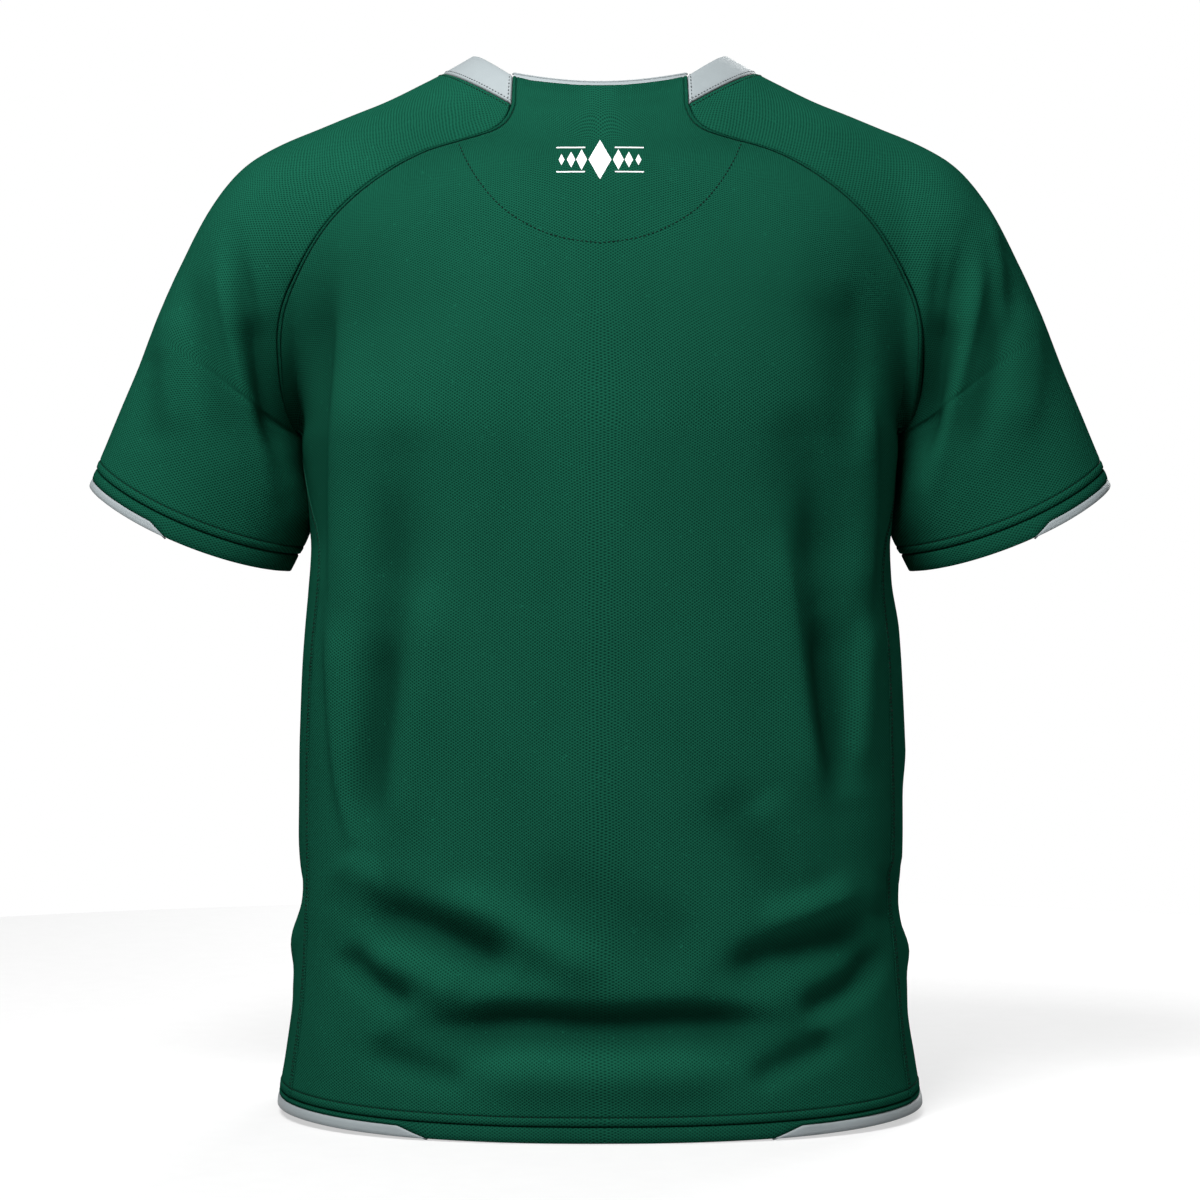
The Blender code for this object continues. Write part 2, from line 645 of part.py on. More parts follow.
def main():
    for item in list(bpy.data.objects):
        bpy.data.objects.remove(item)
    sleeve = sleeve_rows()
    band, inset = cuff_rows()
    collar = collar_rows()
    hem_inset = hem_inset_rows()
    rows = {
        "back_panel": lower_rows(1) + upper_rows(1, BACK_SEAM, back_rise) + nape_rows(),
        "front_panel": lower_rows(-1) + upper_rows(-1, FRONT_SEAM, front_rise),
        "sleeve_left": sleeve,
        "sleeve_right": mirrored(sleeve),
        "cuff_band_left": band,
        "cuff_band_right": mirrored(band),
        "cuff_inset_left": inset,
        "cuff_inset_right": mirrored(inset),
        "hem_band_back": hem_band_rows(1),
        "hem_band_front": hem_band_rows(-1),
        "hem_inset_left": hem_inset,
        "hem_inset_right": mirrored(hem_inset),
        "collar_left": collar,
        "collar_right": mirrored(collar),
        "neck_facing": facing_rows(),
    }
    grids = {name: np.array(piece) for name, piece in rows.items()}
    senses = {name: outward_sense(grid) for name, grid in grids.items()}
    normals = shared_normals(grids, senses)
    shaped = {name: g + normals[name] * fold_height(g)[..., None] for name, g in grids.items()}
    normals = shared_normals(shaped, senses)
    shaped["neck_facing"] = shaped["neck_facing"] - normals["neck_facing"] * (WALL + SEAM_GAP)
    knit = make_material("green_knit", GREEN, 0.78, 0.25)
    rib = make_material("green_band_knit", GREEN_BAND, 0.80, 0.25)
    plain = make_material("grey_smooth_knit", GREY, 0.62, 0.15)
    for name, grid in shaped.items():
        material = knit
        if "band" in name:
            material = rib
        if "inset" in name or "collar" in name or "facing" in name:
            material = plain
        outer = pulled_in(grid, 0.5 * SEAM_GAP)
        build_shell(name, outer, outer - normals[name] * WALL, material)


main()
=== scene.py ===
"""Short-sleeved football jersey in green knit, filled out as if worn and seen from behind.

The cloth pieces lie on one common form. Above the underarm it is a fan of sections that runs from
the middle of the body to the end of the sleeve; below the underarm it is a stack of oval sections.
Frame: metres, +Z up, the front of the jersey faces -Y, its left sleeve points along +X.
"""
import math

import bpy
import numpy as np
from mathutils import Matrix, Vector, noise
from mathutils.bvhtree import BVHTree


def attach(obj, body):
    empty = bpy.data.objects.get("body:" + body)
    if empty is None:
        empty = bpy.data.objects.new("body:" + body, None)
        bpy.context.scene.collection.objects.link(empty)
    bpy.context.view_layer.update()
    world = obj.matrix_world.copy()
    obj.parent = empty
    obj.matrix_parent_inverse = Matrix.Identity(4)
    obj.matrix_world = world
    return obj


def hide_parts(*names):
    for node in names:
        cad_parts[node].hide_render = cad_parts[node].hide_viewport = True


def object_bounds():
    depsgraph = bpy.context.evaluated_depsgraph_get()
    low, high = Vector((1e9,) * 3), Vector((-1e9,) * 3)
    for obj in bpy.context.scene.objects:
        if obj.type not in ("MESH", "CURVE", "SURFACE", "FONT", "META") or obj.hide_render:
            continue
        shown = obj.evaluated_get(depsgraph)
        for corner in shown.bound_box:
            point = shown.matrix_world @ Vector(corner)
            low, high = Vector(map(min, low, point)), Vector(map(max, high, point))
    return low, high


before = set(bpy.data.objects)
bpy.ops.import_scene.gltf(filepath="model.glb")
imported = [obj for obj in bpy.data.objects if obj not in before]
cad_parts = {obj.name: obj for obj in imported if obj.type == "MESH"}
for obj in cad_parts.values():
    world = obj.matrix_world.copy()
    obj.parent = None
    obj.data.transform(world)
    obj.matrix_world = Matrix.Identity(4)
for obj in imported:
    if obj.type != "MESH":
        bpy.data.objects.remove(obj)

CAD_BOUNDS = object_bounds()
MILLIMETRE = 0.001

bl_info = {
    "name": "Football Jersey",
    "version": (1, 0, 0),
    "blender": (4, 5, 0),
    "location": "3D View > Sidebar > Jersey",
    "description": "Sews a knitted football jersey with raglan sleeves, piece by piece",
    "category": "Add Mesh",
}

# --- body, metres ---
UNDERARM_X = 0.2050
UNDERARM_Z = -0.2350
HEM_SIDE_Z = -0.6868
TAIL_DROP = 0.0055  # the hem hangs this much lower at centre back
FRONT_DROP = 0.0020
ROUNDNESS = 2.5  # exponent of the body's oval sections
# height, half width, half depth behind, half depth in front
BODY_SECTIONS = (
    (-0.695, 0.2225, 0.150, 0.147),
    (-0.655, 0.2158, 0.149, 0.146),
    (-0.585, 0.2088, 0.145, 0.144),
    (-0.450, 0.2062, 0.139, 0.141),
    (-0.380, 0.2034, 0.138, 0.141),
    (-0.298, 0.1990, 0.139, 0.143),
    (-0.235, 0.2050, 0.140, 0.143),
)
SIDE_SEAM_ANGLE = math.radians(21.0)  # the side seams lie behind the middle of each side
SIDE_SEAM_TURN = 0.10  # height below the underarm over which the seam moves back

# --- shoulders and sleeves, (x, z) ---
SHOULDER_LINE = (
    (0.0000, 0.0560),
    (0.0220, 0.0550),
    (0.0450, 0.0503),
    (0.0670, 0.0405),
    (0.0880, 0.0286),
    (0.1435, -0.0014),
    (0.2050, -0.0258),
    (0.2394, -0.0427),
    (0.2636, -0.0690),
    (0.2864, -0.1104),
    (0.3215, -0.1932),
    (0.3512, -0.2645),
    (0.3573, -0.2795),
)
UNDERARM_LINE = (
    (UNDERARM_X, UNDERARM_Z),
    (0.2048, -0.2620),
    (0.2012, -0.2980),
    (0.2075, -0.3130),
    (0.2135, -0.3250),
    (0.2203, -0.3384),
)
CUFF_MARGIN = 0.0150  # the two outlines reach this far beyond the cuff
CUFF_SAG = 0.0110  # the cuff hangs this much lower behind and in front than at its two sides
SLEEVE_FALL = (0.405, -0.914)  # direction in which the sleeve falls
SLEEVE_DEPTH_TOP = 0.074  # half depth of the sleeve at the armhole
SLEEVE_DEPTH_CUFF = 0.055
NECK_DEPTH = 0.030
SHOULDER_FALL = 1.8  # how soon the back curves forward towards the shoulders

# --- seams, (x, z) ---
RAGLAN_BACK = (
    (0.0589, -0.0170),
    (0.0634, -0.0289),
    (0.0838, -0.0396),
    (0.1161, -0.0482),
    (0.1524, -0.0686),
    (0.1823, -0.0959),
    (0.2014, -0.1251),
    (0.2142, -0.1601),
    (0.2140, -0.1880),
    (0.2105, -0.2120),
    (UNDERARM_X, UNDERARM_Z),
)
RAGLAN_FRONT = (
    (0.0850, -0.0300),
    (0.1010, -0.0490),
    (0.1350, -0.0700),
    (0.1700, -0.0990),
    (0.1960, -0.1330),
    (0.2100, -0.1700),
    (0.2110, -0.2050),
    (UNDERARM_X, UNDERARM_Z),
)
ARMHOLE_TOP = 0.79  # station on the shoulder line across from the underarm
NECK_SIDE_X = 0.1090  # outer edge of the collar on the shoulder
COLLAR_TOP_X = 0.0880  # upper edge of the collar on the shoulder
COLLAR_END_TOP = (0.0585, 0.0040)  # upper back corner of the grey collar
NAPE_EDGE_Z = -0.0045  # upper edge of the collar at centre back
NAPE_BASE_Z = -0.0270
V_POINT_Z = -0.1450  # lowest point of the V in front
V_INNER_Z = -0.1030
COLLAR_FRONT_INNER = (0.0649, -0.0151)

# --- bands ---
HEM_BAND = 0.0105
HEM_INSET = 0.0070
CUFF_BAND = 0.0130
CUFF_INSET = 0.0055
FACING_RISE = 0.0068  # the facing shows this much above the nape
FACING_HEIGHT = 0.0150
FACING_INSET = 0.0040  # the facing lies this far inside the panel
HEM_INSET_SHARE = {1: (6 / 22, 7 / 22), -1: (8 / 22, 9 / 22)}  # slanted ends, as shares of a panel
CUFF_INSET_END = (math.radians(75.0), math.radians(86.0))

# --- creases, millimetres ---
# side (1 behind, -1 in front, 0 all round), height, widths on the +X and on the -X side of a line
# drawn downwards, points (x, z)
BODY_CREASES = (
    # deep tucks beside the armpits
    (1, -5, 16, 14, ((233, -150), (227, -180), (218, -215), (212, -250))),
    (1, -5, 14, 16, ((-233, -150), (-227, -180), (-218, -215), (-212, -250))),
    (-1, -5, 16, 14, ((233, -150), (227, -180), (218, -215), (212, -250))),
    (-1, -5, 14, 16, ((-233, -150), (-227, -180), (-218, -215), (-212, -250))),
    # the sides press against the sleeves below the underarm
    (0, 1.3, 18, 18, ((206, -218), (203, -245), (200, -275), (199, -310))),
    (0, 1.3, 18, 18, ((-206, -218), (-203, -245), (-200, -275), (-199, -310))),
    # left side of the back, top to bottom
    (1, -5, 14, 8, ((175, -125), (185, -210), (188, -290), (185, -340))),
    (1, 3.6, 6, 18, ((170, -120), (174.5, -200), (177, -290), (176, -370))),
    (1, -2.4, 20, 30, ((125, -220), (132, -290), (143, -350))),
    (1, -4.8, 14, 20, ((138, -260), (143, -330), (147, -400), (154, -460), (159, -505))),
    (1, -5.5, 12, 16, ((145, -360), (148, -410), (154, -460), (160, -506))),
    (1, 4.6, 5, 13, ((179, -350), (174, -425), (168, -480), (160, -516))),
    (1, 4.6, 14, 18, ((108, -330), (120, -400), (129, -470), (127, -515))),
    (1, 3, 12, 12, ((170, -512), (156, -525), (140, -522))),
    # right side of the back
    (1, -3.6, 26, 10, ((-164, -130), (-170, -190), (-164, -260))),
    (1, -3, 22, 18, ((-128, -210), (-138, -290), (-146, -340))),
    (1, 4, 12, 6, ((-176, -200), (-179, -290), (-174, -360))),
    (1, -5.2, 12, 17, ((-140, -260), (-145, -330), (-149, -390), (-156, -440), (-163, -478))),
    (1, -6.2, 10, 14, ((-147, -350), (-151, -400), (-157, -445), (-164, -480))),
    (1, 4.8, 18, 7, ((-115, -290), (-124, -350), (-133, -420), (-144, -490))),
    (1, 4.4, 7, 11, ((-178, -350), (-173, -420), (-168, -470))),
    # small of the back
    (1, -3.4, 16, 24, ((-70, -465), (-95, -498), (-118, -525), (-138, -552))),
    (1, 3.4, 12, 14, ((-100, -470), (-120, -498), (-142, -535))),
    (1, -3.2, 24, 22, ((56, -520), (12, -537), (-30, -556), (-74, -572))),
    (1, 5.2, 15, 12, ((118, -538), (85, -543), (40, -564), (-10, -590))),
    # above the hem
    (1, -10.5, 12, 16, ((164, -550), (130, -554), (96, -564), (50, -584))),
    (1, -6, 9, 12, ((175, -574), (150, -593), (118, -610))),
    (1, 4.6, 13, 10, ((155, -574), (115, -588), (85, -603))),
    (1, -12.5, 10, 22, ((-126, -623), (-57, -615), (0, -617), (52, -615), (124, -625))),
    (1, 5.6, 18, 18, ((95, -650), (35, -647), (-35, -647), (-95, -645))),
    (1, -8.5, 12, 16, ((-185, -555), (-150, -565), (-115, -573), (-76, -590))),
    (1, 4.6, 12, 11, ((-175, -535), (-140, -545), (-100, -556))),
    (1, -7, 9, 11, ((-126, -613), (-150, -605), (-174, -591), (-189, -570))),
    (1, -5.2, 9, 11, ((-93, -656), (-123, -644), (-160, -631))),
    (1, -4.6, 9, 11, ((157, -640), (123, -646), (83, -656))),
    (1, -3, 10, 10, ((-197, -518), (-195, -540), (-185, -562))),
    # nape
    (1, -1.8, 4, 5, ((56, 1), (46, -4), (26, -8.5), (6, -9.5))),
    (1, -1.8, 4, 5, ((-56, 1), (-46, -4), (-26, -8.5), (-6, -9.5))),
    (1, -1.2, 4, 5, ((52, -14), (30, -18), (5, -19))),
    (1, -1.2, 4, 5, ((-54, -12), (-34, -17), (-10, -18))),
    # front: similar, softer
    (-1, -5, 20, 20, ((135, -290), (130, -370), (140, -470))),
    (-1, 3, 16, 14, ((102, -280), (106, -370), (115, -460))),
    (-1, -5.5, 20, 20, ((-140, -360), (-135, -450), (-145, -540))),
    (-1, 3, 14, 14, ((-112, -350), (-108, -440), (-120, -520))),
    (-1, -3, 24, 24, ((20, -230), (45, -300), (50, -390))),
    (-1, -3, 22, 26, ((-30, -220), (-50, -300), (-48, -370))),
    (-1, -6.2, 14, 20, ((150, -550), (90, -572), (20, -595), (-40, -600))),
    (-1, 3.4, 16, 16, ((120, -530), (50, -562), (-20, -576))),
    (-1, -5, 12, 18, ((70, -640), (-20, -648), (-100, -638))),
    (-1, -5, 14, 16, ((-90, -585), (-125, -572), (-170, -570))),
    (-1, -3.6, 10, 14, ((160, -605), (125, -618), (95, -626))),
)
SLEEVE_CREASES = (
    (0, 1.3, 18, 18, ((207, -218), (205, -245), (202.5, -275), (201, -310))),
    (1, -5, 10, 6, ((244, -100), (235, -145), (227, -185), (219, -230), (213, -275))),
    (1, 3.6, 6, 9, ((256, -105), (250, -150), (240, -195), (227, -250), (220, -295))),
    (1, -3.2, 9, 12, ((276, -115), (271, -160), (260, -210), (248, -260))),
    (1, 2.4, 10, 16, ((293, -140), (292, -190), (282, -240))),
    (-1, -4.6, 10, 7, ((242, -105), (235, -150), (227, -195), (218, -250))),
    (-1, 3, 7, 10, ((256, -115), (251, -165), (240, -215), (228, -265))),
    (-1, -3, 12, 14, ((279, -130), (274, -190), (256, -250))),
)
SLEEVE_EXTRA = {
    1: (
        (1, -2.4, 12, 12, ((300, -170), (305, -210), (300, -250))),
    ),
    -1: (
        (1, -3.6, 7, 6, ((230, -104), (224, -150), (218, -190), (213, -240))),
        (1, 2.6, 6, 6, ((262, -80), (268, -120), (274, -170))),
    ),
}

# Folds at the sides of the body: side 2 left, -2 right; widths towards +Y and -Y, points (y, z).
SIDE_CREASES = (
    (2, -4, 14, 18, ((50, -530), (10, -550), (-40, -562))),
    (2, 3, 12, 14, ((45, -565), (0, -586), (-55, -594))),
    (2, -3.6, 10, 14, ((-80, -615), (-30, -625), (30, -620))),
    (2, -3.6, 20, 16, ((-15, -340), (-25, -420), (-15, -490))),
    (2, 2.6, 14, 18, ((-60, -330), (-68, -420), (-60, -500))),
    (-2, -4, 14, 18, ((45, -545), (0, -560), (-50, -564))),
    (-2, 2.8, 12, 14, ((40, -575), (-10, -592), (-60, -594))),
    (-2, -3.4, 10, 14, ((-70, -620), (-20, -630), (35, -622))),
    (-2, -3.6, 18, 18, ((-30, -350), (-20, -430), (-35, -510))),
    (-2, 2.6, 14, 14, ((20, -330), (25, -410), (10, -480))),
)

PUCKER_BODY = 0.00035
PUCKER_SLEEVE = 0.00028
FOLD_DEPTH = 0.011  # a crease this deep gets the full painted shade in the knit's colour
WRINKLES = ((0.0011, 0.55, 0.070, 3.1), (0.0004, 0.6, 0.026, 7.7))  # height, stretch, scale, seed

# --- seam reliefs: distance from the border and height of the cloth there, metres ---
# The first step dives inwards: it is the seam allowance, which closes the joint from behind.
TOPSTITCHED = ((0.0, -0.0034), (0.0002, -0.0010), (0.0005, -0.0004), (0.0010, 0.0004), (0.0026, 0.0005),
               (0.0031, 0.0001), (0.0034, -0.0005), (0.0038, -0.0002), (0.0046, 0.0), (0.0060, 0.0))
JOINED = ((0.0, -0.0034), (0.0002, -0.0011), (0.0005, -0.0006), (0.0010, -0.0002), (0.0018, 0.0),
          (0.0060, 0.0))
HEMMED = ((0.0, -0.0034), (0.0002, -0.0011), (0.0006, -0.0004), (0.0013, 0.0002), (0.0045, 0.0004),
          (0.0055, 0.0001), (0.0060, -0.0005), (0.0065, -0.0002), (0.0075, 0.0), (0.0090, 0.0))
FREE = ((0.0, -0.0005), (0.0005, -0.0002), (0.0010, 0.0), (0.0060, 0.0))
OPEN = ((0.0, 0.0), (0.0060, 0.0))
SIDE_STITCH = 0.0016  # distances of further needle lines from their seams
NECK_STITCH = 0.0030
COLLAR_STITCH = 0.0027
STITCH_LINES = {TOPSTITCHED: 0.0034, HEMMED: 0.0060}  # the needle line of a relief

# --- stage ---
FLOOR_RADIUS = 1.35
FLOOR_SIDES = 96
FLOOR_GLOW = 0.57  # brightness that the floor keeps in the jersey's shadow
WALL_WHITE = 1.0
# name, share of the key light's power, place, size
LIGHTS = (
    ("key", 1.0, (0.68, 1.45, 1.60), 1.0),
    ("fill", 0.10, (-1.4, 2.2, 0.3), 1.6),
    ("front", 0.50, (-0.9, -2.1, 0.5), 1.5),
)

# right half of the half-moon of stitches behind the neck, from its lowest point up to the seam
HALF_MOON = (
    (0.0000, -0.1142),
    (0.0280, -0.1096),
    (0.0475, -0.1012),
    (0.0645, -0.0890),
    (0.0792, -0.0712),
    (0.0880, -0.0560),
    (0.0925, -0.0455),
)

# piece, flat width and length, flat area, bands and insets sewn to it
CUTS = (
    ("back_panel", (0.540, 0.710), 0.312, ("hem_band_back", "neck_facing")),
    ("front_panel", (0.680, 0.660), 0.385, ("hem_band_front", "hem_inset_left", "hem_inset_right")),
    ("sleeve_left", (0.420, 0.370), 0.116, ("cuff_band_left", "cuff_inset_left")),
    ("sleeve_right", (0.420, 0.370), 0.116, ("cuff_band_right", "cuff_inset_right")),
    ("collar_left", (0.260, 0.070), 0.0085, ()),
    ("collar_right", (0.260, 0.070), 0.0085, ()),
)

SEWN = {}  # the pieces made so far, by name


# --- curves ---
def spline(knots, values):
    """Natural cubic spline through the values at rising knots."""
    t = np.asarray(knots, dtype=float)
    v = np.asarray(values, dtype=float)
    n = len(t)
    h = np.diff(t)
    a = np.zeros((n, n))
    b = np.zeros(n)
    a[0, 0] = 1.0
    a[-1, -1] = 1.0
    for i in range(1, n - 1):
        a[i, i - 1] = h[i - 1]
        a[i, i] = 2.0 * (h[i - 1] + h[i])
        a[i, i + 1] = h[i]
        b[i] = 6.0 * ((v[i + 1] - v[i]) / h[i] - (v[i] - v[i - 1]) / h[i - 1])
    m = np.linalg.solve(a, b)

    def value(q):
        q = np.clip(np.asarray(q, dtype=float), t[0], t[-1])
        i = np.clip(np.searchsorted(t, q, side="right") - 1, 0, n - 2)
        d = h[i]
        left = t[i + 1] - q
        right = q - t[i]
        bend = (m[i] * left**3 + m[i + 1] * right**3) / (6.0 * d)
        return bend + (v[i] / d - m[i] * d / 6.0) * left + (v[i + 1] / d - m[i + 1] * d / 6.0) * right

    return value


def path(points, samples=400):
    """Dense smooth curve through (x, z) points, with the share of its length at every sample."""
    pts = np.asarray(points, dtype=float)
    knots = np.concatenate(([0.0], np.cumsum(np.hypot(*np.diff(pts, axis=0).T))))
    q = np.linspace(0.0, knots[-1], samples)
    x = spline(knots, pts[:, 0])(q)
    z = spline(knots, pts[:, 1])(q)
    run = np.concatenate(([0.0], np.cumsum(np.hypot(np.diff(x), np.diff(z)))))
    return run / run[-1], x, z, run[-1]


def on_path(curve, share):
    """(x, z) at a share of the curve's length."""
    return np.interp(share, curve[0], curve[1]), np.interp(share, curve[0], curve[2])


def smooth(q):
    q = np.clip(q, 0.0, 1.0)
    return q * q * (3.0 - 2.0 * q)


SHOULDER = path(SHOULDER_LINE, 900)
UNDERARM = path(UNDERARM_LINE)
BACK_SEAM = path(RAGLAN_BACK)
FRONT_SEAM = path(RAGLAN_FRONT)
HEIGHTS = [s[0] for s in BODY_SECTIONS]
WIDTH = spline(HEIGHTS, [s[1] for s in BODY_SECTIONS])
DEPTH_BACK = spline(HEIGHTS, [s[2] for s in BODY_SECTIONS])
DEPTH_FRONT = spline(HEIGHTS, [s[3] for s in BODY_SECTIONS])
SHOULDER_START = float(np.interp(UNDERARM_X, SHOULDER[1], SHOULDER[0]))


# --- the common form ---
# Station 0 of the fan is the middle of the body, 0.5 stands over the underarm and 1 is the end of the
# sleeve. Every section runs from its inner point (level 0) to its outer point (level 1).
def fan_ends(station):
    station = np.asarray(station, dtype=float)
    body = station <= 0.5
    x_body = 2.0 * station * UNDERARM_X
    share = np.clip(2.0 * station - 1.0, 0.0, 1.0)
    in_x, in_z = on_path(UNDERARM, share)
    out_x, out_z = on_path(SHOULDER, SHOULDER_START + share * (1.0 - SHOULDER_START))
    top_z = np.interp(x_body, SHOULDER[1], SHOULDER[2])
    return (
        np.where(body, x_body, in_x),
        np.where(body, UNDERARM_Z, in_z),
        np.where(body, x_body, out_x),
        np.where(body, top_z, out_z),
    )


def fan_depth(station, level, side):
    """Half depth of the form at a station and level; side is 1 behind and -1 in front."""
    x = np.clip(2.0 * station, 0.0, 1.0)
    deep = np.where(side > 0, float(DEPTH_BACK(UNDERARM_Z)), float(DEPTH_FRONT(UNDERARM_Z)))
    power = (2.0 / ROUNDNESS) * (1.0 + 0.75 * smooth(level / 0.35))
    trunk = np.clip(1.0 - x**ROUNDNESS, 0.0, 1.0) ** power
    fall = 1.0 - np.clip(level, 0.0, 1.0) ** SHOULDER_FALL
    towards_cuff = np.clip(2.0 * station - 1.0, 0.0, 1.0)
    arm = NECK_DEPTH + (SLEEVE_DEPTH_TOP - NECK_DEPTH) * smooth((x - 0.1) / 0.9)
    arm = arm + (SLEEVE_DEPTH_CUFF - SLEEVE_DEPTH_TOP) * smooth(towards_cuff)
    a = 1.5 - 0.5 * smooth(towards_cuff * 1.3)
    peak = (a / (a + 1.0)) ** a / (a + 1.0)
    tube = np.clip(level, 0.0, 1.0) ** a * (1.0 - np.clip(level, 0.0, 1.0)) / peak
    return np.sqrt(deep**2 * trunk * fall + arm**2 * tube)


def fan_find(x, z):
    """Station and level of an (x, z) position, x not negative."""
    low = np.where(z < UNDERARM_Z, 0.5, 0.0)
    high = np.ones_like(x)
    for _ in range(40):
        mid = 0.5 * (low + high)
        ix, iz, ox, oz = fan_ends(mid)
        beyond = (x - ix) * (oz - iz) - (z - iz) * (ox - ix) > 0.0
        low = np.where(beyond, mid, low)
        high = np.where(beyond, high, mid)
    station = 0.5 * (low + high)
    ix, iz, ox, oz = fan_ends(station)
    level = ((x - ix) * (ox - ix) + (z - iz) * (oz - iz)) / ((ox - ix) ** 2 + (oz - iz) ** 2)
    return station, np.clip(level, 0.0, 1.0)


def turn_of(point):
    """Angle of an (x, z) point round its section, from 0 on the shoulder line to 180 degrees."""
    _, level = fan_find(np.array([point[0]]), np.array([point[1]]))
    return float(np.arccos(2.0 * level[0] - 1.0))


def form_point(x, z, side):
    """Point of the upper form at (x, z), for either sign of x."""
    x = np.asarray(x, dtype=float)
    z = np.asarray(z, dtype=float)
    station, level = fan_find(np.abs(x), z)
    side = side + 0.0 * x
    return np.stack([x, side * fan_depth(station, level, side), z], axis=-1)


def body_point(z, angle):
    """Point of the lower body; the angle runs from 0 at the left side over 90 degrees behind."""
    c = np.cos(angle)
    s = np.sin(angle)
    deep = np.where(s >= 0.0, DEPTH_BACK(z), DEPTH_FRONT(z))
    x = WIDTH(z) * np.sign(c) * np.abs(c) ** (2.0 / ROUNDNESS)
    y = deep * np.sign(s) * np.abs(s) ** (2.0 / ROUNDNESS)
    return np.stack([x, y, z + 0.0 * x], axis=-1)


def hem_z(angle):
    s = np.sin(angle)
    return HEM_SIDE_Z - np.where(s > 0.0, TAIL_DROP, FRONT_DROP) * s * s


def side_angle(z):
    """Angle of the side seam at a height."""
    return SIDE_SEAM_ANGLE * smooth((UNDERARM_Z - z) / SIDE_SEAM_TURN)


def panel_angles(z, side, spread):
    """Angles across a panel, from the left side seam (spread 0) to the right one (spread 1)."""
    start = side_angle(z)
    return start + (math.pi * side - 2.0 * start) * spread


# --- plain grids of the pieces, rows by columns ---
def lower_rows(side, rows, spread):
    """Rows from the hem seam up to the underarm."""
    grid = []
    low = HEM_SIDE_Z + HEM_BAND
    for share in np.linspace(0.0, 1.0, rows + 1):
        angle = panel_angles(low + share * (UNDERARM_Z - low), side, spread)
        z = hem_z(angle) + HEM_BAND
        grid.append(body_point(z + share * (UNDERARM_Z - z), angle))
    return grid


def across_of(side, share, spread):
    """Columns of an upper row as shares of its half width, spaced more evenly towards the neck."""
    c = np.cos(math.pi * side * spread)
    oval = np.sign(c) * np.abs(c) ** (2.0 / ROUNDNESS)
    return oval + 0.85 * float(smooth((1.0 - share) / 0.4)) * (1.0 - 2.0 * spread - oval)


def upper_rows(side, seam, edge_share, rows, spread):
    """Rows from above the underarm to the neck; edge_share is each column's share of the rise."""
    grid = []
    for share in np.linspace(1.0, 0.0, rows + 1)[1:]:
        across = across_of(side, share, spread)
        x, z = on_path(seam, share)
        rise = 1.0 + (edge_share(across) - 1.0) * smooth(1.3 * (1.0 - share))
        grid.append(form_point(x * across, UNDERARM_Z + (z - UNDERARM_Z) * rise, side))
    return grid


def back_rise(across):
    base = (NAPE_BASE_Z - UNDERARM_Z) / (RAGLAN_BACK[0][1] - UNDERARM_Z)
    return base + (1.0 - base) * across**2


def front_rise(across):
    base = (V_POINT_Z - UNDERARM_Z) / (RAGLAN_FRONT[0][1] - UNDERARM_Z)
    return base + (1.0 - base) * np.abs(across) ** 1.15


def nape_rows(rows, spread):
    """The middle of the back collar, grown on to the back panel."""
    across = across_of(1, 0.0, spread)
    x0, z0 = RAGLAN_BACK[0]
    x1, z1 = COLLAR_END_TOP
    low = UNDERARM_Z + (z0 - UNDERARM_Z) * back_rise(across)
    high = NAPE_EDGE_Z + (z1 - NAPE_EDGE_Z) * across**2
    return [
        form_point((x0 + share * (x1 - x0)) * across, low + share * (high - low), 1)
        for share in np.linspace(0.0, 1.0, rows + 1)[1:]
    ]


def ring(back, front, top, share, sag=0.0):
    """Ring over the shoulder line; share runs from 1 at the back end to -1 at the front end."""
    turn = np.where(share > 0.0, turn_of(back), turn_of(front))
    return ring_at(back, front, top, np.abs(share) * turn, np.sign(share), sag)


def ring_at(back, front, top, angle, side, sag):
    """Points of a ring at angles from the shoulder line, side 1 behind and -1 in front."""
    turn = np.where(side > 0.0, turn_of(back), turn_of(front))
    weight = (np.cos(angle) - np.cos(turn)) / (1.0 - np.cos(turn))
    end_x = np.where(side > 0.0, back[0], front[0])
    end_z = np.where(side > 0.0, back[1], front[1])
    x = end_x + (top[0] - end_x) * weight
    z = end_z + (top[1] - end_z) * weight
    drop = sag * np.abs(np.sin(angle)) ** 1.5
    return form_point(x + drop * SLEEVE_FALL[0], z + drop * SLEEVE_FALL[1], side)


def shoulder_at(station):
    _, _, x, z = fan_ends(station)
    return float(x), float(z)


def cuff_ends(width):
    """Underarm end and shoulder end of the ring at a distance from the end of the sleeve."""
    width = width + CUFF_MARGIN
    inner = on_path(UNDERARM, 1.0 - width / UNDERARM[3])
    outer = shoulder_at(1.0 - 0.5 * width / (SHOULDER[3] * (1.0 - SHOULDER_START)))
    return (float(inner[0]), float(inner[1])), outer


def sleeve_rows(upper, lower, share):
    """Left sleeve, from the collar to the cuff seam."""
    neck_top = 0.5 * NECK_SIDE_X / UNDERARM_X
    grid = []
    for step in np.linspace(0.0, 1.0, upper + 1):
        top = shoulder_at(neck_top + step * (ARMHOLE_TOP - neck_top))
        grid.append(ring(on_path(BACK_SEAM, step), on_path(FRONT_SEAM, step), top, share))
    end_share = 1.0 - (CUFF_BAND + CUFF_MARGIN) / UNDERARM[3]
    end_top = 1.0 - 0.5 * (CUFF_BAND + CUFF_MARGIN) / (SHOULDER[3] * (1.0 - SHOULDER_START))
    for step in np.linspace(0.0, 1.0, lower + 1)[1:]:
        end = on_path(UNDERARM, step * end_share)
        top = shoulder_at(ARMHOLE_TOP + step * (end_top - ARMHOLE_TOP))
        grid.append(ring(end, end, top, share, step * CUFF_SAG))
    return grid


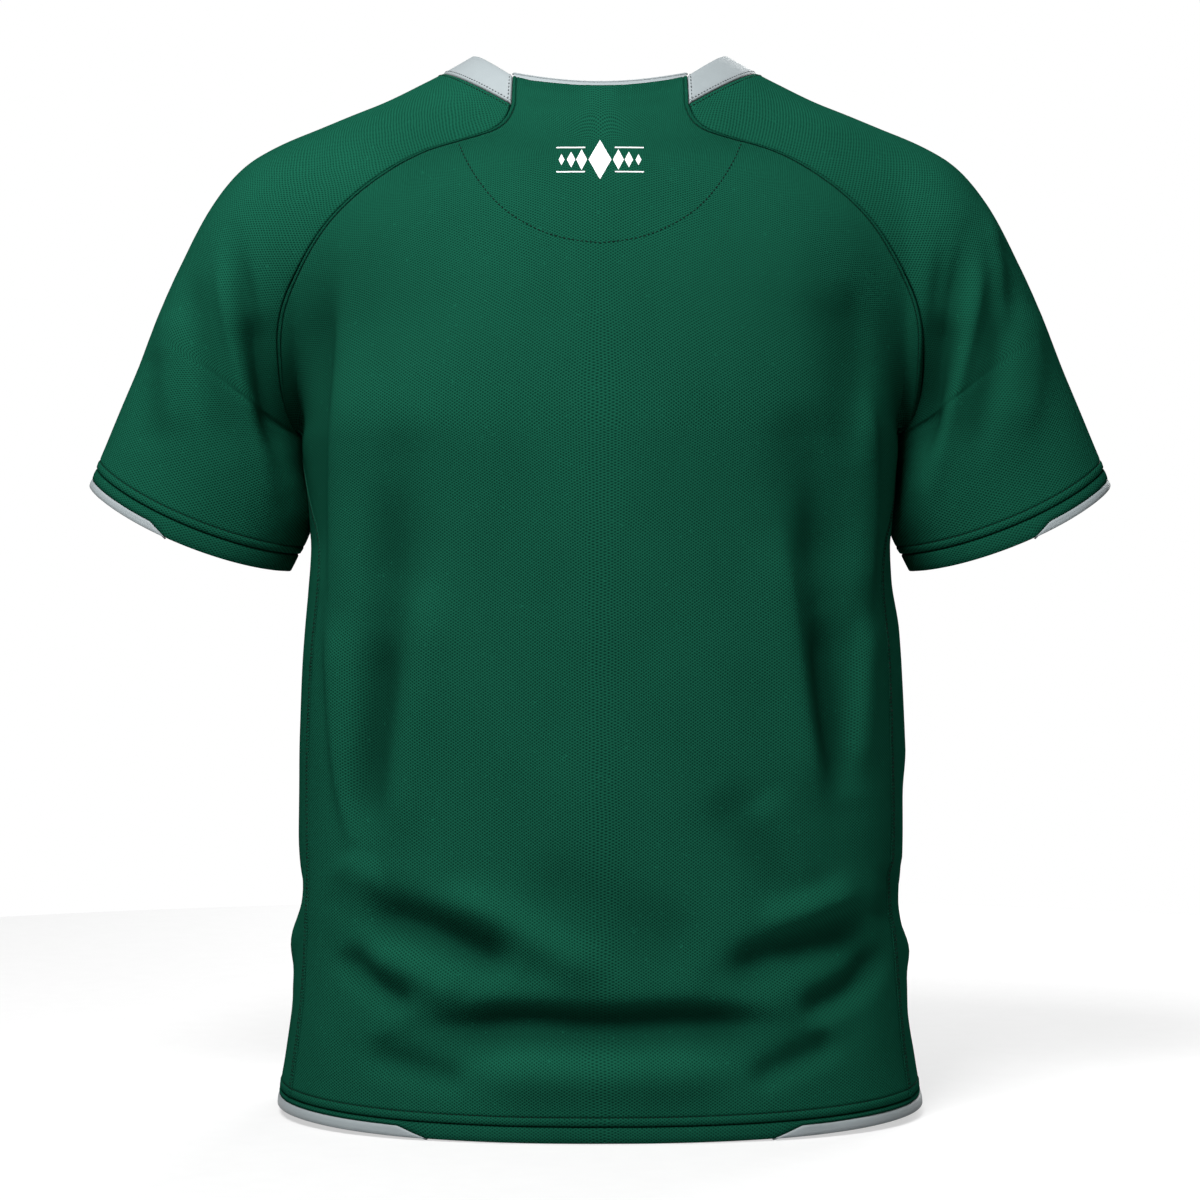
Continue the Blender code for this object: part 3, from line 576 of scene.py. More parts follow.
def cuff_band_rows(rows, columns):
    """Green band of the left cuff; its lower edge steps up where the grey inset begins."""
    share = np.linspace(1.0, -1.0, columns + 1)
    angle = np.abs(share) * math.pi
    side = np.where(share >= 0.0, 1.0, -1.0)
    short, long = CUFF_INSET_END
    inset = np.clip((long - angle) / (long - short), 0.0, 1.0)[:, None]
    top = ring_at(*_cuff_ring(CUFF_BAND), angle, side, CUFF_SAG)
    line = ring_at(*_cuff_ring(CUFF_INSET), angle, side, CUFF_SAG)
    edge = ring_at(*_cuff_ring(0.0), angle, side, CUFF_SAG)
    low = edge + (line - edge) * inset
    return [top + step * (low - top) for step in np.linspace(0.0, 1.0, rows + 1)]


def cuff_inset_rows(rows, columns):
    share = np.linspace(1.0, -1.0, columns + 1)
    side = np.where(share >= 0.0, 1.0, -1.0)
    short, long = CUFF_INSET_END
    line = ring_at(*_cuff_ring(CUFF_INSET), np.abs(share) * short, side, CUFF_SAG)
    edge = ring_at(*_cuff_ring(0.0), np.abs(share) * long, side, CUFF_SAG)
    return [line + step * (edge - line) for step in np.linspace(0.0, 1.0, rows + 1)]


def _cuff_ring(width):
    inner, outer = cuff_ends(width)
    return inner, inner, outer


def hem_band_rows(side, rows, spread):
    """Green hem band; its lower edge steps up where the grey insets begin."""
    angle = panel_angles(HEM_SIDE_Z, side, spread)
    first, last = HEM_INSET_SHARE[side]
    near_side = np.minimum(spread, 1.0 - spread)
    inset = np.clip((last - near_side) / (last - first), 0.0, 1.0)
    low = hem_z(angle) + HEM_INSET * inset
    high = hem_z(angle) + HEM_BAND
    return [body_point(low + step * (high - low), angle) for step in np.linspace(0.0, 1.0, rows + 1)]


def hem_inset_rows(rows, columns):
    """Left grey inset, from behind round the side to the front."""
    grid = []
    spread = np.linspace(0.0, 1.0, columns + 1)
    for step in np.linspace(0.0, 1.0, rows + 1):
        row = []
        for side in (1, -1):
            first, last = HEM_INSET_SHARE[side]
            angle = panel_angles(HEM_SIDE_Z, side, spread * (last + step * (first - last)))
            points = body_point(hem_z(angle) + step * HEM_INSET, angle)
            row.append(points[::-1] if side > 0 else points)
        # the side seam bends a little: the two halves meet there
        row[1] = row[1] + (row[0][-1] - row[1][0]) * np.linspace(1.0, 0.0, columns + 1)[:, None] ** 6
        grid.append(np.concatenate([row[0], row[1][1:]]))
    return grid


def collar_rows(rows, ring_share, spread):
    """Left collar, from its back end over the shoulder and down to the V."""
    base = ring(RAGLAN_BACK[0], RAGLAN_FRONT[0], shoulder_at(0.5 * NECK_SIDE_X / UNDERARM_X), ring_share)
    top = shoulder_at(0.5 * COLLAR_TOP_X / UNDERARM_X)
    edge = ring(COLLAR_END_TOP, COLLAR_FRONT_INNER, top, ring_share)
    side = np.where(ring_share >= 0.0, 1.0, -1.0)
    across = across_of(-1, 0.0, spread)
    x = RAGLAN_FRONT[0][0] * across
    z = UNDERARM_Z + (RAGLAN_FRONT[0][1] - UNDERARM_Z) * front_rise(across)
    inner_x = COLLAR_FRONT_INNER[0] * across
    inner_z = V_INNER_Z + (COLLAR_FRONT_INNER[1] - V_INNER_Z) * np.abs(across) ** 1.15
    grid = []
    for step in np.linspace(0.0, 1.0, rows + 1):
        middle = base + step * (edge - base)
        over = form_point(middle[:, 0], middle[:, 2], side)
        low = form_point(x + step * (inner_x - x), z + step * (inner_z - z), -1)
        grid.append(np.concatenate([over, low[1:]]))
    return grid


def facing_rows(rows, spread):
    """Strip inside the nape, its upper edge a little above the collar's edge."""
    across = across_of(1, 0.0, spread)
    x1, z1 = COLLAR_END_TOP
    edge = NAPE_EDGE_Z + (z1 - NAPE_EDGE_Z) * across**2
    heights = np.linspace(FACING_RISE - FACING_HEIGHT, FACING_RISE, rows + 1)
    return [form_point(x1 * across, edge + rise, 1) for rise in heights]


# --- cloth ---
def runs(grid, axis):
    """Distance run along every line of a grid from its first point."""
    step = np.linalg.norm(np.diff(grid, axis=axis), axis=-1)
    start = np.zeros_like(np.take(step, [0], axis=axis))
    return np.concatenate([start, np.cumsum(step, axis=axis)], axis=axis)


def with_border_lines(grid, axis, first, last):
    """The grid with extra lines close to two borders, at the distances that their reliefs name.

    The first three values of a point are its place; any further ones are carried along.
    """
    if axis == 0:
        return np.swapaxes(with_border_lines(np.swapaxes(grid, 0, 1), 1, first, last), 0, 1)
    count = grid.shape[1]
    result = []
    for line in grid:
        run = np.concatenate(([0.0], np.cumsum(np.linalg.norm(np.diff(line[:, :3], axis=0), axis=1))))
        shrink = min(1.0, 0.4 * run[-1] / max(first[-1], last[-1]))
        near = np.array(first) * shrink
        far = run[-1] - np.array(last)[::-1] * shrink
        middle = np.linspace(near[-1], far[0], count)[1:-1]
        q = np.concatenate([near, middle, far])
        result.append(np.stack([np.interp(q, run, line[:, k]) for k in range(line.shape[1])], axis=1))
    return np.array(result)


def grid_normals(grid, sense):
    """Unit normals of a grid, turned by the sense."""
    along = np.gradient(grid, axis=0)
    across = np.gradient(grid, axis=1)
    normal = np.cross(along, across) * sense
    return normal / np.maximum(np.linalg.norm(normal, axis=-1)[..., None], 1e-12)


def evened(values, rounds):
    """Values of a grid with their kinks smoothed out; straight runs stay as they are."""
    for _ in range(rounds):
        wide = np.pad(values, ((1, 1), (1, 1), (0, 0)), mode="reflect", reflect_type="odd")
        around = wide[:-2, 1:-1] + wide[2:, 1:-1] + wide[1:-1, :-2] + wide[1:-1, 2:]
        values = 0.5 * values + 0.125 * around
    return values


def outward_sense(grid):
    """1 if the grid's own normals point away from the inside of the jersey, else -1."""
    normals = grid_normals(grid, 1.0)
    middle = grid.mean(axis=(0, 1))
    hub_x = math.copysign(0.27, middle[0]) if abs(middle[0]) > 0.19 else 0.0
    hub = np.array([hub_x, 0.0, middle[2]])
    return 1.0 if float(np.sum(normals * (grid - hub))) > 0.0 else -1.0


def crease_height(points, creases):
    """Sum of the creases' heights at points of the form."""
    x, y, z = points[..., 0], points[..., 1], points[..., 2]
    total = np.zeros(x.shape)
    for side, height, wide_left, wide_right, line in creases:
        place = y if abs(side) == 2 else x
        _, cx, cz, _ = path(MILLIMETRE * np.array(line), 48)
        best = np.full(x.shape, 1e9)
        where = np.zeros(x.shape)
        sign = np.zeros(x.shape)
        for k in range(len(cx) - 1):
            tx, tz = cx[k + 1] - cx[k], cz[k + 1] - cz[k]
            q = np.clip(((place - cx[k]) * tx + (z - cz[k]) * tz) / (tx * tx + tz * tz), 0.0, 1.0)
            ox, oz = place - cx[k] - q * tx, z - cz[k] - q * tz
            d = np.hypot(ox, oz)
            nearer = d < best
            best = np.where(nearer, d, best)
            where = np.where(nearer, (k + q) / (len(cx) - 1), where)
            sign = np.where(nearer, np.sign(tx * oz - tz * ox), sign)
        width = MILLIMETRE * np.where(sign > 0.0, wide_left, wide_right)
        fade = 0.15 + 0.85 * smooth(where / 0.24) * smooth((1.0 - where) / 0.24)
        if abs(side) == 2:
            facing = smooth((0.5 * side * x - 0.13) / 0.05)
        else:
            facing = smooth((side * y + 0.004) / 0.03) if side else 1.0
        total += MILLIMETRE * height * fade * facing * np.exp(-((best / width) ** 2))
    return total


def softness(points, scale, seed):
    """Smooth noise between -1 and 1 at points, larger forms for a larger scale."""
    flat = points.reshape(-1, 3) / scale + seed
    values = [noise.noise(Vector(p)) for p in flat]
    return np.array(values).reshape(points.shape[:-1])


def relief_at(distance, relief):
    offsets = [r[0] for r in relief]
    heights = [r[1] for r in relief]
    return np.interp(distance, offsets, heights)


class Piece:
    """One cut piece of cloth: its outer surface, the distances to its borders and its own map."""

    def __init__(self, rows, borders, creases=(), wrinkles=1.0, pucker=0.0):
        """borders: the reliefs at the first row, last row, first column and last column."""
        cloth = bpy.context.scene.jersey_cloth
        grid = np.array(rows)
        over = runs(grid, 1)
        flat = np.stack([over - 0.5 * over[:, -1:], runs(grid, 0)], axis=-1)
        grid = np.concatenate([grid, evened(flat, 200)], axis=-1)
        offsets = [[r[0] for r in relief] for relief in borders]
        grid = with_border_lines(grid, 0, offsets[0], offsets[1])
        grid = with_border_lines(grid, 1, offsets[2], offsets[3])
        self.u = grid[..., 3]
        self.v = grid[..., 4]
        grid = grid[..., :3]
        self.sense = outward_sense(grid)
        normals = evened(grid_normals(grid, self.sense), 12)
        normals = normals / np.linalg.norm(normals, axis=-1)[..., None]
        down = runs(grid, 0)
        over = runs(grid, 1)
        self.near = (down, down[-1:] - down, over, over[:, -1:] - over)
        height = crease_height(grid, creases) * cloth.crease_strength
        # painted shade: the deeper a crease sinks, the darker the knit's colour is painted there
        self.painted_crease_shade = np.clip(-height / FOLD_DEPTH, 0.0, 1.0)
        for tall, stretch, scale, seed in WRINKLES:
            height += wrinkles * tall * softness(grid * np.array([1.0, 1.0, stretch]), scale, seed)
        self.seam = np.zeros(height.shape)
        for k, (distance, relief) in enumerate(zip(self.near, borders)):
            height += relief_at(distance, relief)
            if relief is OPEN:
                continue
            # painted shade: the seam mark darkens the knit in the groove along every border that is not open,
            # and adds a darker line along a needle line
            self.seam = np.maximum(self.seam, np.exp(-((distance / 0.0008) ** 2)))
            if relief in STITCH_LINES:
                needle = (distance - STITCH_LINES[relief]) / 0.0006
                self.seam = np.maximum(self.seam, 0.75 * np.exp(-(needle**2)))
            if pucker > 0.0:
                height += pucker * self.ripple(grid, distance)
        base = grid + normals * height[..., None]
        self.outer = self.pulled_in(base, 0.5 * cloth.seam_gap)
        self.normals = grid_normals(self.outer, self.sense)

    def ripple(self, grid, distance):
        """Small puckers across a seam, dying out a few millimetres away from it."""
        waves = softness(grid * np.array([1.0, 0.35, 1.0]), 0.0075, 1.3)
        return waves * np.exp(-distance / 0.007) * smooth(distance / 0.002)

    @staticmethod
    def pulled_in(grid, amount):
        result = grid.copy()
        for axis in (0, 1):
            near = np.take(grid, 1, axis=axis) - np.take(grid, 0, axis=axis)
            far = np.take(grid, -2, axis=axis) - np.take(grid, -1, axis=axis)
            near = near / np.linalg.norm(near, axis=-1)[:, None] * amount
            far = far / np.linalg.norm(far, axis=-1)[:, None] * amount
            if axis == 0:
                result[0] += near
                result[-1] += far
            else:
                result[:, 0] += near
                result[:, -1] += far
        return result

    def mirrored(self):
        """The same piece for the other side of the jersey."""
        other = Piece.__new__(Piece)
        flip = np.array([-1.0, 1.0, 1.0])
        other.sense = -self.sense
        other.outer = self.outer * flip
        other.normals = self.normals * flip
        other.near, other.u, other.v = self.near, -self.u, self.v
        other.seam, other.painted_crease_shade = self.seam, self.painted_crease_shade
        return other

    def line(self, border, distance):
        """Points and normals along a border (0 first row, 1 last row, 2, 3 columns) at a distance."""
        near = self.near[border]
        if border < 2:
            near, points, normals = near.T, self.outer.swapaxes(0, 1), self.normals.swapaxes(0, 1)
        else:
            points, normals = self.outer, self.normals
        place = []
        facing = []
        for d, p, n in zip(near, points, normals):
            if d[0] > d[-1]:
                d, p, n = d[::-1], p[::-1], n[::-1]
            place.append([np.interp(distance, d, p[:, k]) for k in range(3)])
            facing.append([np.interp(distance, d, n[:, k]) for k in range(3)])
        return np.array(place), np.array(facing)

    def build(self, name, material, thickness):
        """Closed shell of the piece, with a map in metres and the seams and creases marked for painted shade.
        """
        rows, columns = self.outer.shape[:2]
        count = rows * columns
        inner = self.outer - self.normals * thickness
        points = np.concatenate([self.outer.reshape(-1, 3), inner.reshape(-1, 3)])
        i, j = np.meshgrid(np.arange(rows - 1), np.arange(columns - 1), indexing="ij")
        a = (i * columns + j).ravel()
        face = np.stack([a, a + 1, a + 1 + columns, a + columns], axis=1)
        if self.sense > 0.0:
            face = face[:, ::-1]
        back = face[:, ::-1] + count
        border = np.concatenate([
            np.arange(columns),
            np.arange(1, rows) * columns + columns - 1,
            (rows - 1) * columns + np.arange(columns - 2, -1, -1),
            np.arange(rows - 2, 0, -1) * columns,
        ])
        following = np.roll(border, -1)
        rim = np.stack([border, following, following + count, border + count], axis=1)
        if self.sense < 0.0:
            rim = rim[:, ::-1]
        faces = np.concatenate([face, back, rim])
        mesh = bpy.data.meshes.new(name)
        mesh.from_pydata(points.tolist(), [], faces.tolist())
        mesh.materials.append(material)
        u = np.tile(self.u.ravel(), 2)
        v = np.tile(self.v.ravel(), 2)
        corner = faces.ravel()
        layer = mesh.uv_layers.new(name="cloth")
        layer.data.foreach_set("uv", np.stack([u[corner], v[corner]], axis=1).ravel().astype(np.float32))
        for kind, values in (("seam", self.seam), ("painted_crease_shade", self.painted_crease_shade)):
            mark = mesh.attributes.new(kind, "FLOAT", "POINT")
            mark.data.foreach_set("value", np.tile(values.ravel(), 2).astype(np.float32))
        mesh.shade_smooth()
        mesh.set_sharp_from_angle(angle=math.radians(55.0))
        mesh.update()
        result = bpy.data.objects.new(name, mesh)
        bpy.context.scene.collection.objects.link(result)
        SEWN[name] = self
        return result


def sew(name, piece, material):
    """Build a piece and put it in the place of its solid."""
    cloth = bpy.context.scene.jersey_cloth
    result = piece.build(name + "_cloth", material, cloth.thickness)
    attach(result, "root")
    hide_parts(name)
    return result


def between(line, low, high):
    """The part of a line whose heights lie between two levels."""
    points, normals = line
    kept = (points[:, 2] > low) & (points[:, 2] < high)
    return points[kept], normals[kept]


def on_cloth(piece, x, z):
    """Points and normals on the back of a piece, straight ahead of (x, z) positions."""
    rows, columns = piece.outer.shape[:2]
    i, j = np.meshgrid(np.arange(rows - 1), np.arange(columns - 1), indexing="ij")
    a = (i * columns + j).ravel()
    face = np.stack([a, a + 1, a + 1 + columns, a + columns], axis=1)
    tree = BVHTree.FromPolygons(piece.outer.reshape(-1, 3).tolist(), face.tolist())
    points = []
    normals = []
    for px, pz in zip(x, z):
        place, normal, _, _ = tree.ray_cast(Vector((px, 1.0, pz)), Vector((0.0, -1.0, 0.0)))
        if place is None:
            raise RuntimeError("no cloth at %.3f, %.3f" % (px, pz))
        points.append(place[:])
        normals.append((normal if normal.y > 0.0 else -normal)[:])
    return np.array(points), np.array(normals)


def add_slab(points, faces, place, facing, rows, columns, lift):
    """Add a thin closed slab over a grid of places to the points and faces of a mesh."""
    start = len(points)
    count = rows * columns
    points.extend((place + facing * lift).tolist())
    points.extend((place - facing * 2.0 * lift).tolist())
    across = np.cross(place[columns] - place[0], place[1] - place[0])
    flip = float(np.dot(across, facing[0])) > 0.0
    quads = []
    for i in range(rows - 1):
        for j in range(columns - 1):
            a = i * columns + j
            quads.append((a, a + columns, a + columns + 1, a + 1))
            quads.append((count + a, count + a + 1, count + a + columns + 1, count + a + columns))
    border = list(range(columns))
    border += [i * columns + columns - 1 for i in range(1, rows)]
    border += [(rows - 1) * columns + j for j in range(columns - 2, -1, -1)]
    border += [i * columns for i in range(rows - 2, 0, -1)]
    for k, a in enumerate(border):
        b = border[(k + 1) % len(border)]
        quads.append((a, b, count + b, count + a))
    for quad in quads:
        turned = quad if flip else tuple(reversed(quad))
        faces.append(tuple(start + v for v in turned))


def stitch_tree():
    """Geometry Nodes tree that lays a rounded stitch at even steps along the edges of a mesh."""
    if "Stitches" in bpy.data.node_groups:
        return bpy.data.node_groups["Stitches"]
    tree = bpy.data.node_groups.new("Stitches", "GeometryNodeTree")
    face = tree.interface
    face.new_socket("Geometry", in_out="INPUT", socket_type="NodeSocketGeometry")
    for name in ("Length", "Width", "Spacing"):
        face.new_socket(name, in_out="INPUT", socket_type="NodeSocketFloat")
    face.new_socket("Thread", in_out="INPUT", socket_type="NodeSocketMaterial")
    face.new_socket("Geometry", in_out="OUTPUT", socket_type="NodeSocketGeometry")
    nodes = Nodes(tree)
    given = nodes.add("NodeGroupInput").outputs
    line = nodes.add("GeometryNodeMeshToCurve", {"Mesh": given["Geometry"]}).outputs[0]
    even = nodes.add("GeometryNodeResampleCurve", {"Curve": line, "Length": given["Spacing"]}, mode="LENGTH")
    up = nodes.add("GeometryNodeInputNamedAttribute", {"Name": "up"}, data_type="FLOAT_VECTOR").outputs[0]
    along = nodes.add("GeometryNodeInputTangent").outputs[0]
    turn = nodes.add("FunctionNodeAxesToRotation", {"Primary Axis": up, "Secondary Axis": along},
                     primary_axis="Z", secondary_axis="X").outputs[0]
    flat = nodes.times(given["Width"], 0.8)
    size = nodes.add("ShaderNodeCombineXYZ", {0: given["Length"], 1: given["Width"], 2: flat}).outputs[0]
    vary = nodes.add("FunctionNodeRandomValue", {"Seed": 7}, data_type="FLOAT")
    vary.inputs[2].default_value = 0.88
    vary.inputs[3].default_value = 1.10
    scaled = nodes.add(
        "ShaderNodeVectorMath", {0: size, "Scale": vary.outputs[1]}, operation="SCALE").outputs[0]
    bead = nodes.add("GeometryNodeMeshUVSphere", {"Segments": 8, "Rings": 5, "Radius": 0.5}).outputs[0]
    laid = nodes.add("GeometryNodeInstanceOnPoints",
                     {"Points": even.outputs[0], "Instance": bead, "Rotation": turn, "Scale": scaled})
    real = nodes.add("GeometryNodeRealizeInstances", {"Geometry": laid.outputs[0]}).outputs[0]
    soft = nodes.add("GeometryNodeSetShadeSmooth", {"Geometry": real}).outputs[0]
    dressed = nodes.add("GeometryNodeSetMaterial", {"Geometry": soft, "Material": given["Thread"]}).outputs[0]
    nodes.add("NodeGroupOutput", {"Geometry": dressed})
    return tree


def lay_stitches(name, seams, thread):
    """One mesh of stitches along lines of points and normals."""
    stitch = bpy.context.scene.jersey_stitch
    points = []
    edges = []
    ups = []
    for place, facing in seams:
        start = len(points)
        points.extend(place.tolist())
        ups.extend(facing.tolist())
        edges.extend((start + k, start + k + 1) for k in range(len(place) - 1))
    guide = bpy.data.meshes.new(name + "_guide")
    guide.from_pydata(points, edges, [])
    up = guide.attributes.new("up", "FLOAT_VECTOR", "POINT")
    up.data.foreach_set("vector", np.array(ups, dtype=np.float32).ravel())
    holder = bpy.data.objects.new(name + "_guide", guide)
    bpy.context.scene.collection.objects.link(holder)
    modifier = holder.modifiers.new("Stitches", "NODES")
    tree = stitch_tree()
    modifier.node_group = tree
    values = {"Length": stitch.length, "Width": stitch.width, "Spacing": stitch.spacing, "Thread": thread}
    for item in tree.interface.items_tree:
        if item.in_out == "INPUT" and item.name in values:
            modifier[item.identifier] = values[item.name]
    graph = bpy.context.evaluated_depsgraph_get()
    mesh = bpy.data.meshes.new_from_object(holder.evaluated_get(graph))
    holder.modifiers.remove(modifier)
    bpy.data.objects.remove(holder)
    mesh.name = name
    if not mesh.vertices:
        raise RuntimeError(name + " came out empty")
    made = bpy.data.objects.new(name, mesh)
    bpy.context.scene.collection.objects.link(made)
    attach(made, "root")
    return made


# --- finishes ---
class Nodes:
    """Small helper that adds and links shader or geometry nodes."""

    def __init__(self, tree):
        self.tree = tree

    def add(self, kind, inputs=None, **settings):
        node = self.tree.nodes.new(kind)
        for key, value in settings.items():
            setattr(node, key, value)
        for key, value in (inputs or {}).items():
            if isinstance(value, bpy.types.NodeSocket):
                self.tree.links.new(value, node.inputs[key])
            else:
                node.inputs[key].default_value = value
        return node

    def math(self, operation, a, b=None):
        inputs = {0: a}
        if b is not None:
            inputs[1] = b
        return self.add("ShaderNodeMath", inputs, operation=operation).outputs[0]

    def times(self, a, b):
        return self.math("MULTIPLY", a, b)

    def plus(self, a, b):
        return self.math("ADD", a, b)

    def cosine(self, a):
        return self.math("COSINE", a)

    def mix(self, factor, a, b):
        node = self.add("ShaderNodeMix", data_type="RGBA")
        for socket, value in ((node.inputs[0], factor), (node.inputs[6], a), (node.inputs[7], b)):
            if isinstance(value, bpy.types.NodeSocket):
                self.tree.links.new(value, socket)
            else:
                socket.default_value = value
        return node.outputs[2]


def new_material(name):
    material = bpy.data.materials.new(name)
    material.use_nodes = True
    tree = material.node_tree
    nodes = Nodes(tree)
    return material, nodes, tree.nodes["Principled BSDF"]


def shade(colour, factor):
    return tuple(c * factor for c in colour[:3]) + (1.0,)


def knit_material(name, colour, column, course, depth, contrast):
    """Bird's-eye knit: staggered dots in upright columns, with painted shade in the seam grooves and the
    deepest creases, darker needle lines and rubbed places.
    """
    material, nodes, shader = new_material(name)
    uv = nodes.add("ShaderNodeUVMap", uv_map="cloth").outputs[0]
    split = nodes.add("ShaderNodeSeparateXYZ", {0: uv})
    place = nodes.add("ShaderNodeTexCoord").outputs["Object"]
    drift = nodes.add("ShaderNodeTexNoise", {"Vector": place, "Scale": 45.0, "Detail": 2.0})
    bend = nodes.times(drift.outputs["Fac"], 0.0022)
    u = nodes.plus(split.outputs[0], bend)
    v = nodes.plus(split.outputs[1], bend)
    pillar = nodes.cosine(nodes.times(u, math.pi / column))
    bead = nodes.cosine(nodes.times(v, 2.0 * math.pi / course))
    dots = nodes.times(pillar, bead)
    ribs = nodes.cosine(nodes.times(u, 2.0 * math.pi / column))
    knit = nodes.plus(nodes.times(dots, 0.38), nodes.times(ribs, -0.12))
    knit = nodes.plus(knit, 0.5)
    yarn = nodes.add("ShaderNodeTexNoise", {"Vector": place, "Scale": 2600.0, "Detail": 2.0}).outputs["Fac"]
    height = nodes.plus(knit, nodes.times(yarn, 0.35))
    bump = nodes.add("ShaderNodeBump", {"Strength": 0.75, "Distance": depth, "Height": height})
    cloudy = nodes.add("ShaderNodeTexNoise", {"Vector": place, "Scale": 11.0, "Detail": 4.0}).outputs["Fac"]
    tone = nodes.plus(nodes.times(knit, contrast), nodes.times(cloudy, 0.20))
    tone = nodes.plus(tone, nodes.times(yarn, 0.16))
    ramp = nodes.add("ShaderNodeMapRange", {"Value": tone, "From Min": 0.10, "From Max": 1.10}).outputs[0]
    cloth = nodes.mix(ramp, shade(colour, 0.20), shade(colour, 1.75))
    # painted shade in the seam grooves and darker needle lines, from the seam mark
    seam = nodes.add("ShaderNodeAttribute", attribute_name="seam").outputs["Fac"]
    cloth = nodes.mix(nodes.times(seam, 0.70), cloth, shade(colour, 0.16))
    # painted shade in the deepest creases
    painted_crease_shade = nodes.add("ShaderNodeAttribute", attribute_name="painted_crease_shade").outputs["Fac"]
    cloth = nodes.mix(nodes.times(painted_crease_shade, 0.62), cloth, shade(colour, 0.25))
    rubbed = nodes.add("ShaderNodeTexNoise", {"Vector": place, "Scale": 320.0, "Detail": 5.0}).outputs["Fac"]
    pills = nodes.add("ShaderNodeMapRange", {"Value": rubbed, "From Min": 0.66, "From Max": 0.74}).outputs[0]
    cloth = nodes.mix(nodes.times(pills, 0.30), cloth, shade(colour, 1.9))
    nodes.tree.links.new(cloth, shader.inputs["Base Color"])
    nodes.tree.links.new(bump.outputs[0], shader.inputs["Normal"])
    rough = nodes.add("ShaderNodeMapRange", {"Value": tone, "To Min": 0.84, "To Max": 0.68}).outputs[0]
    nodes.tree.links.new(rough, shader.inputs["Roughness"])
    shader.inputs["Specular IOR Level"].default_value = 0.0
    return material


def smooth_knit_material(name, colour):
    """Smooth interlock knit of the collar and the insets."""
    material, nodes, shader = new_material(name)
    uv = nodes.add("ShaderNodeUVMap", uv_map="cloth").outputs[0]
    split = nodes.add("ShaderNodeSeparateXYZ", {0: uv})
    place = nodes.add("ShaderNodeTexCoord").outputs["Object"]
    ribs = nodes.cosine(nodes.times(split.outputs[0], 2.0 * math.pi / 0.0009))
    loops = nodes.cosine(nodes.times(split.outputs[1], 2.0 * math.pi / 0.0011))
    knit = nodes.plus(nodes.times(nodes.times(ribs, loops), 0.5), 0.5)
    yarn = nodes.add("ShaderNodeTexNoise", {"Vector": place, "Scale": 2400.0, "Detail": 2.0}).outputs["Fac"]
    height = nodes.plus(knit, nodes.times(yarn, 0.5))
    bump = nodes.add("ShaderNodeBump", {"Strength": 0.5, "Distance": 0.00012, "Height": height})
    cloudy = nodes.add("ShaderNodeTexNoise", {"Vector": place, "Scale": 38.0, "Detail": 4.0}).outputs["Fac"]
    tone = nodes.plus(nodes.times(knit, 0.35), nodes.times(cloudy, 0.65))
    cloth = nodes.mix(tone, shade(colour, 0.86), shade(colour, 1.12))
    # painted shade along the seam grooves and free edges of the collar and insets, from the seam mark
    seam = nodes.add("ShaderNodeAttribute", attribute_name="seam").outputs["Fac"]
    cloth = nodes.mix(nodes.times(seam, 0.55), cloth, shade(colour, 0.42))
    nodes.tree.links.new(cloth, shader.inputs["Base Color"])
    nodes.tree.links.new(bump.outputs[0], shader.inputs["Normal"])
    rough = nodes.add("ShaderNodeMapRange", {"Value": tone, "To Min": 0.66, "To Max": 0.56}).outputs[0]
    nodes.tree.links.new(rough, shader.inputs["Roughness"])
    shader.inputs["Specular IOR Level"].default_value = 0.35
    shader.inputs["Sheen Weight"].default_value = 0.15
    shader.inputs["Sheen Roughness"].default_value = 0.4
    return material


def thread_material(name, colour):
    """Twisted sewing thread."""
    material, nodes, shader = new_material(name)
    place = nodes.add("ShaderNodeTexCoord").outputs["Object"]
    twist = nodes.add("ShaderNodeTexWave", {"Vector": place, "Scale": 700.0, "Distortion": 3.0})
    fibre = nodes.add("ShaderNodeTexNoise", {"Vector": place, "Scale": 900.0, "Detail": 3.0}).outputs["Fac"]
    tone = nodes.plus(nodes.times(twist.outputs["Fac"], 0.5), nodes.times(fibre, 0.5))
    body = nodes.mix(tone, shade(colour, 0.70), shade(colour, 1.25))
    bump = nodes.add("ShaderNodeBump", {"Strength": 0.5, "Distance": 0.0001, "Height": tone})
    nodes.tree.links.new(body, shader.inputs["Base Color"])
    nodes.tree.links.new(bump.outputs[0], shader.inputs["Normal"])
    shader.inputs["Roughness"].default_value = 0.75
    shader.inputs["Specular IOR Level"].default_value = 0.10
    return material


def print_material(name, colour):
    """Flat plastisol print: faintly grained where the knit shows through, with fine cracks."""
    material, nodes, shader = new_material(name)
    place = nodes.add("ShaderNodeTexCoord").outputs["Object"]
    grain = nodes.add("ShaderNodeTexNoise", {"Vector": place, "Scale": 900.0, "Detail": 3.0}).outputs["Fac"]
    crack = nodes.add("ShaderNodeTexVoronoi", {"Vector": place, "Scale": 420.0}, feature="DISTANCE_TO_EDGE")
    cracked = nodes.add(
        "ShaderNodeMapRange", {"Value": crack.outputs["Distance"], "From Max": 0.05}).outputs[0]
    body = nodes.mix(cracked, shade(colour, 0.82), colour)
    bump = nodes.add("ShaderNodeBump", {"Strength": 0.4, "Distance": 0.0001, "Height": grain})
    nodes.tree.links.new(body, shader.inputs["Base Color"])
    nodes.tree.links.new(bump.outputs[0], shader.inputs["Normal"])
    shader.inputs["Roughness"].default_value = 0.5
    return material


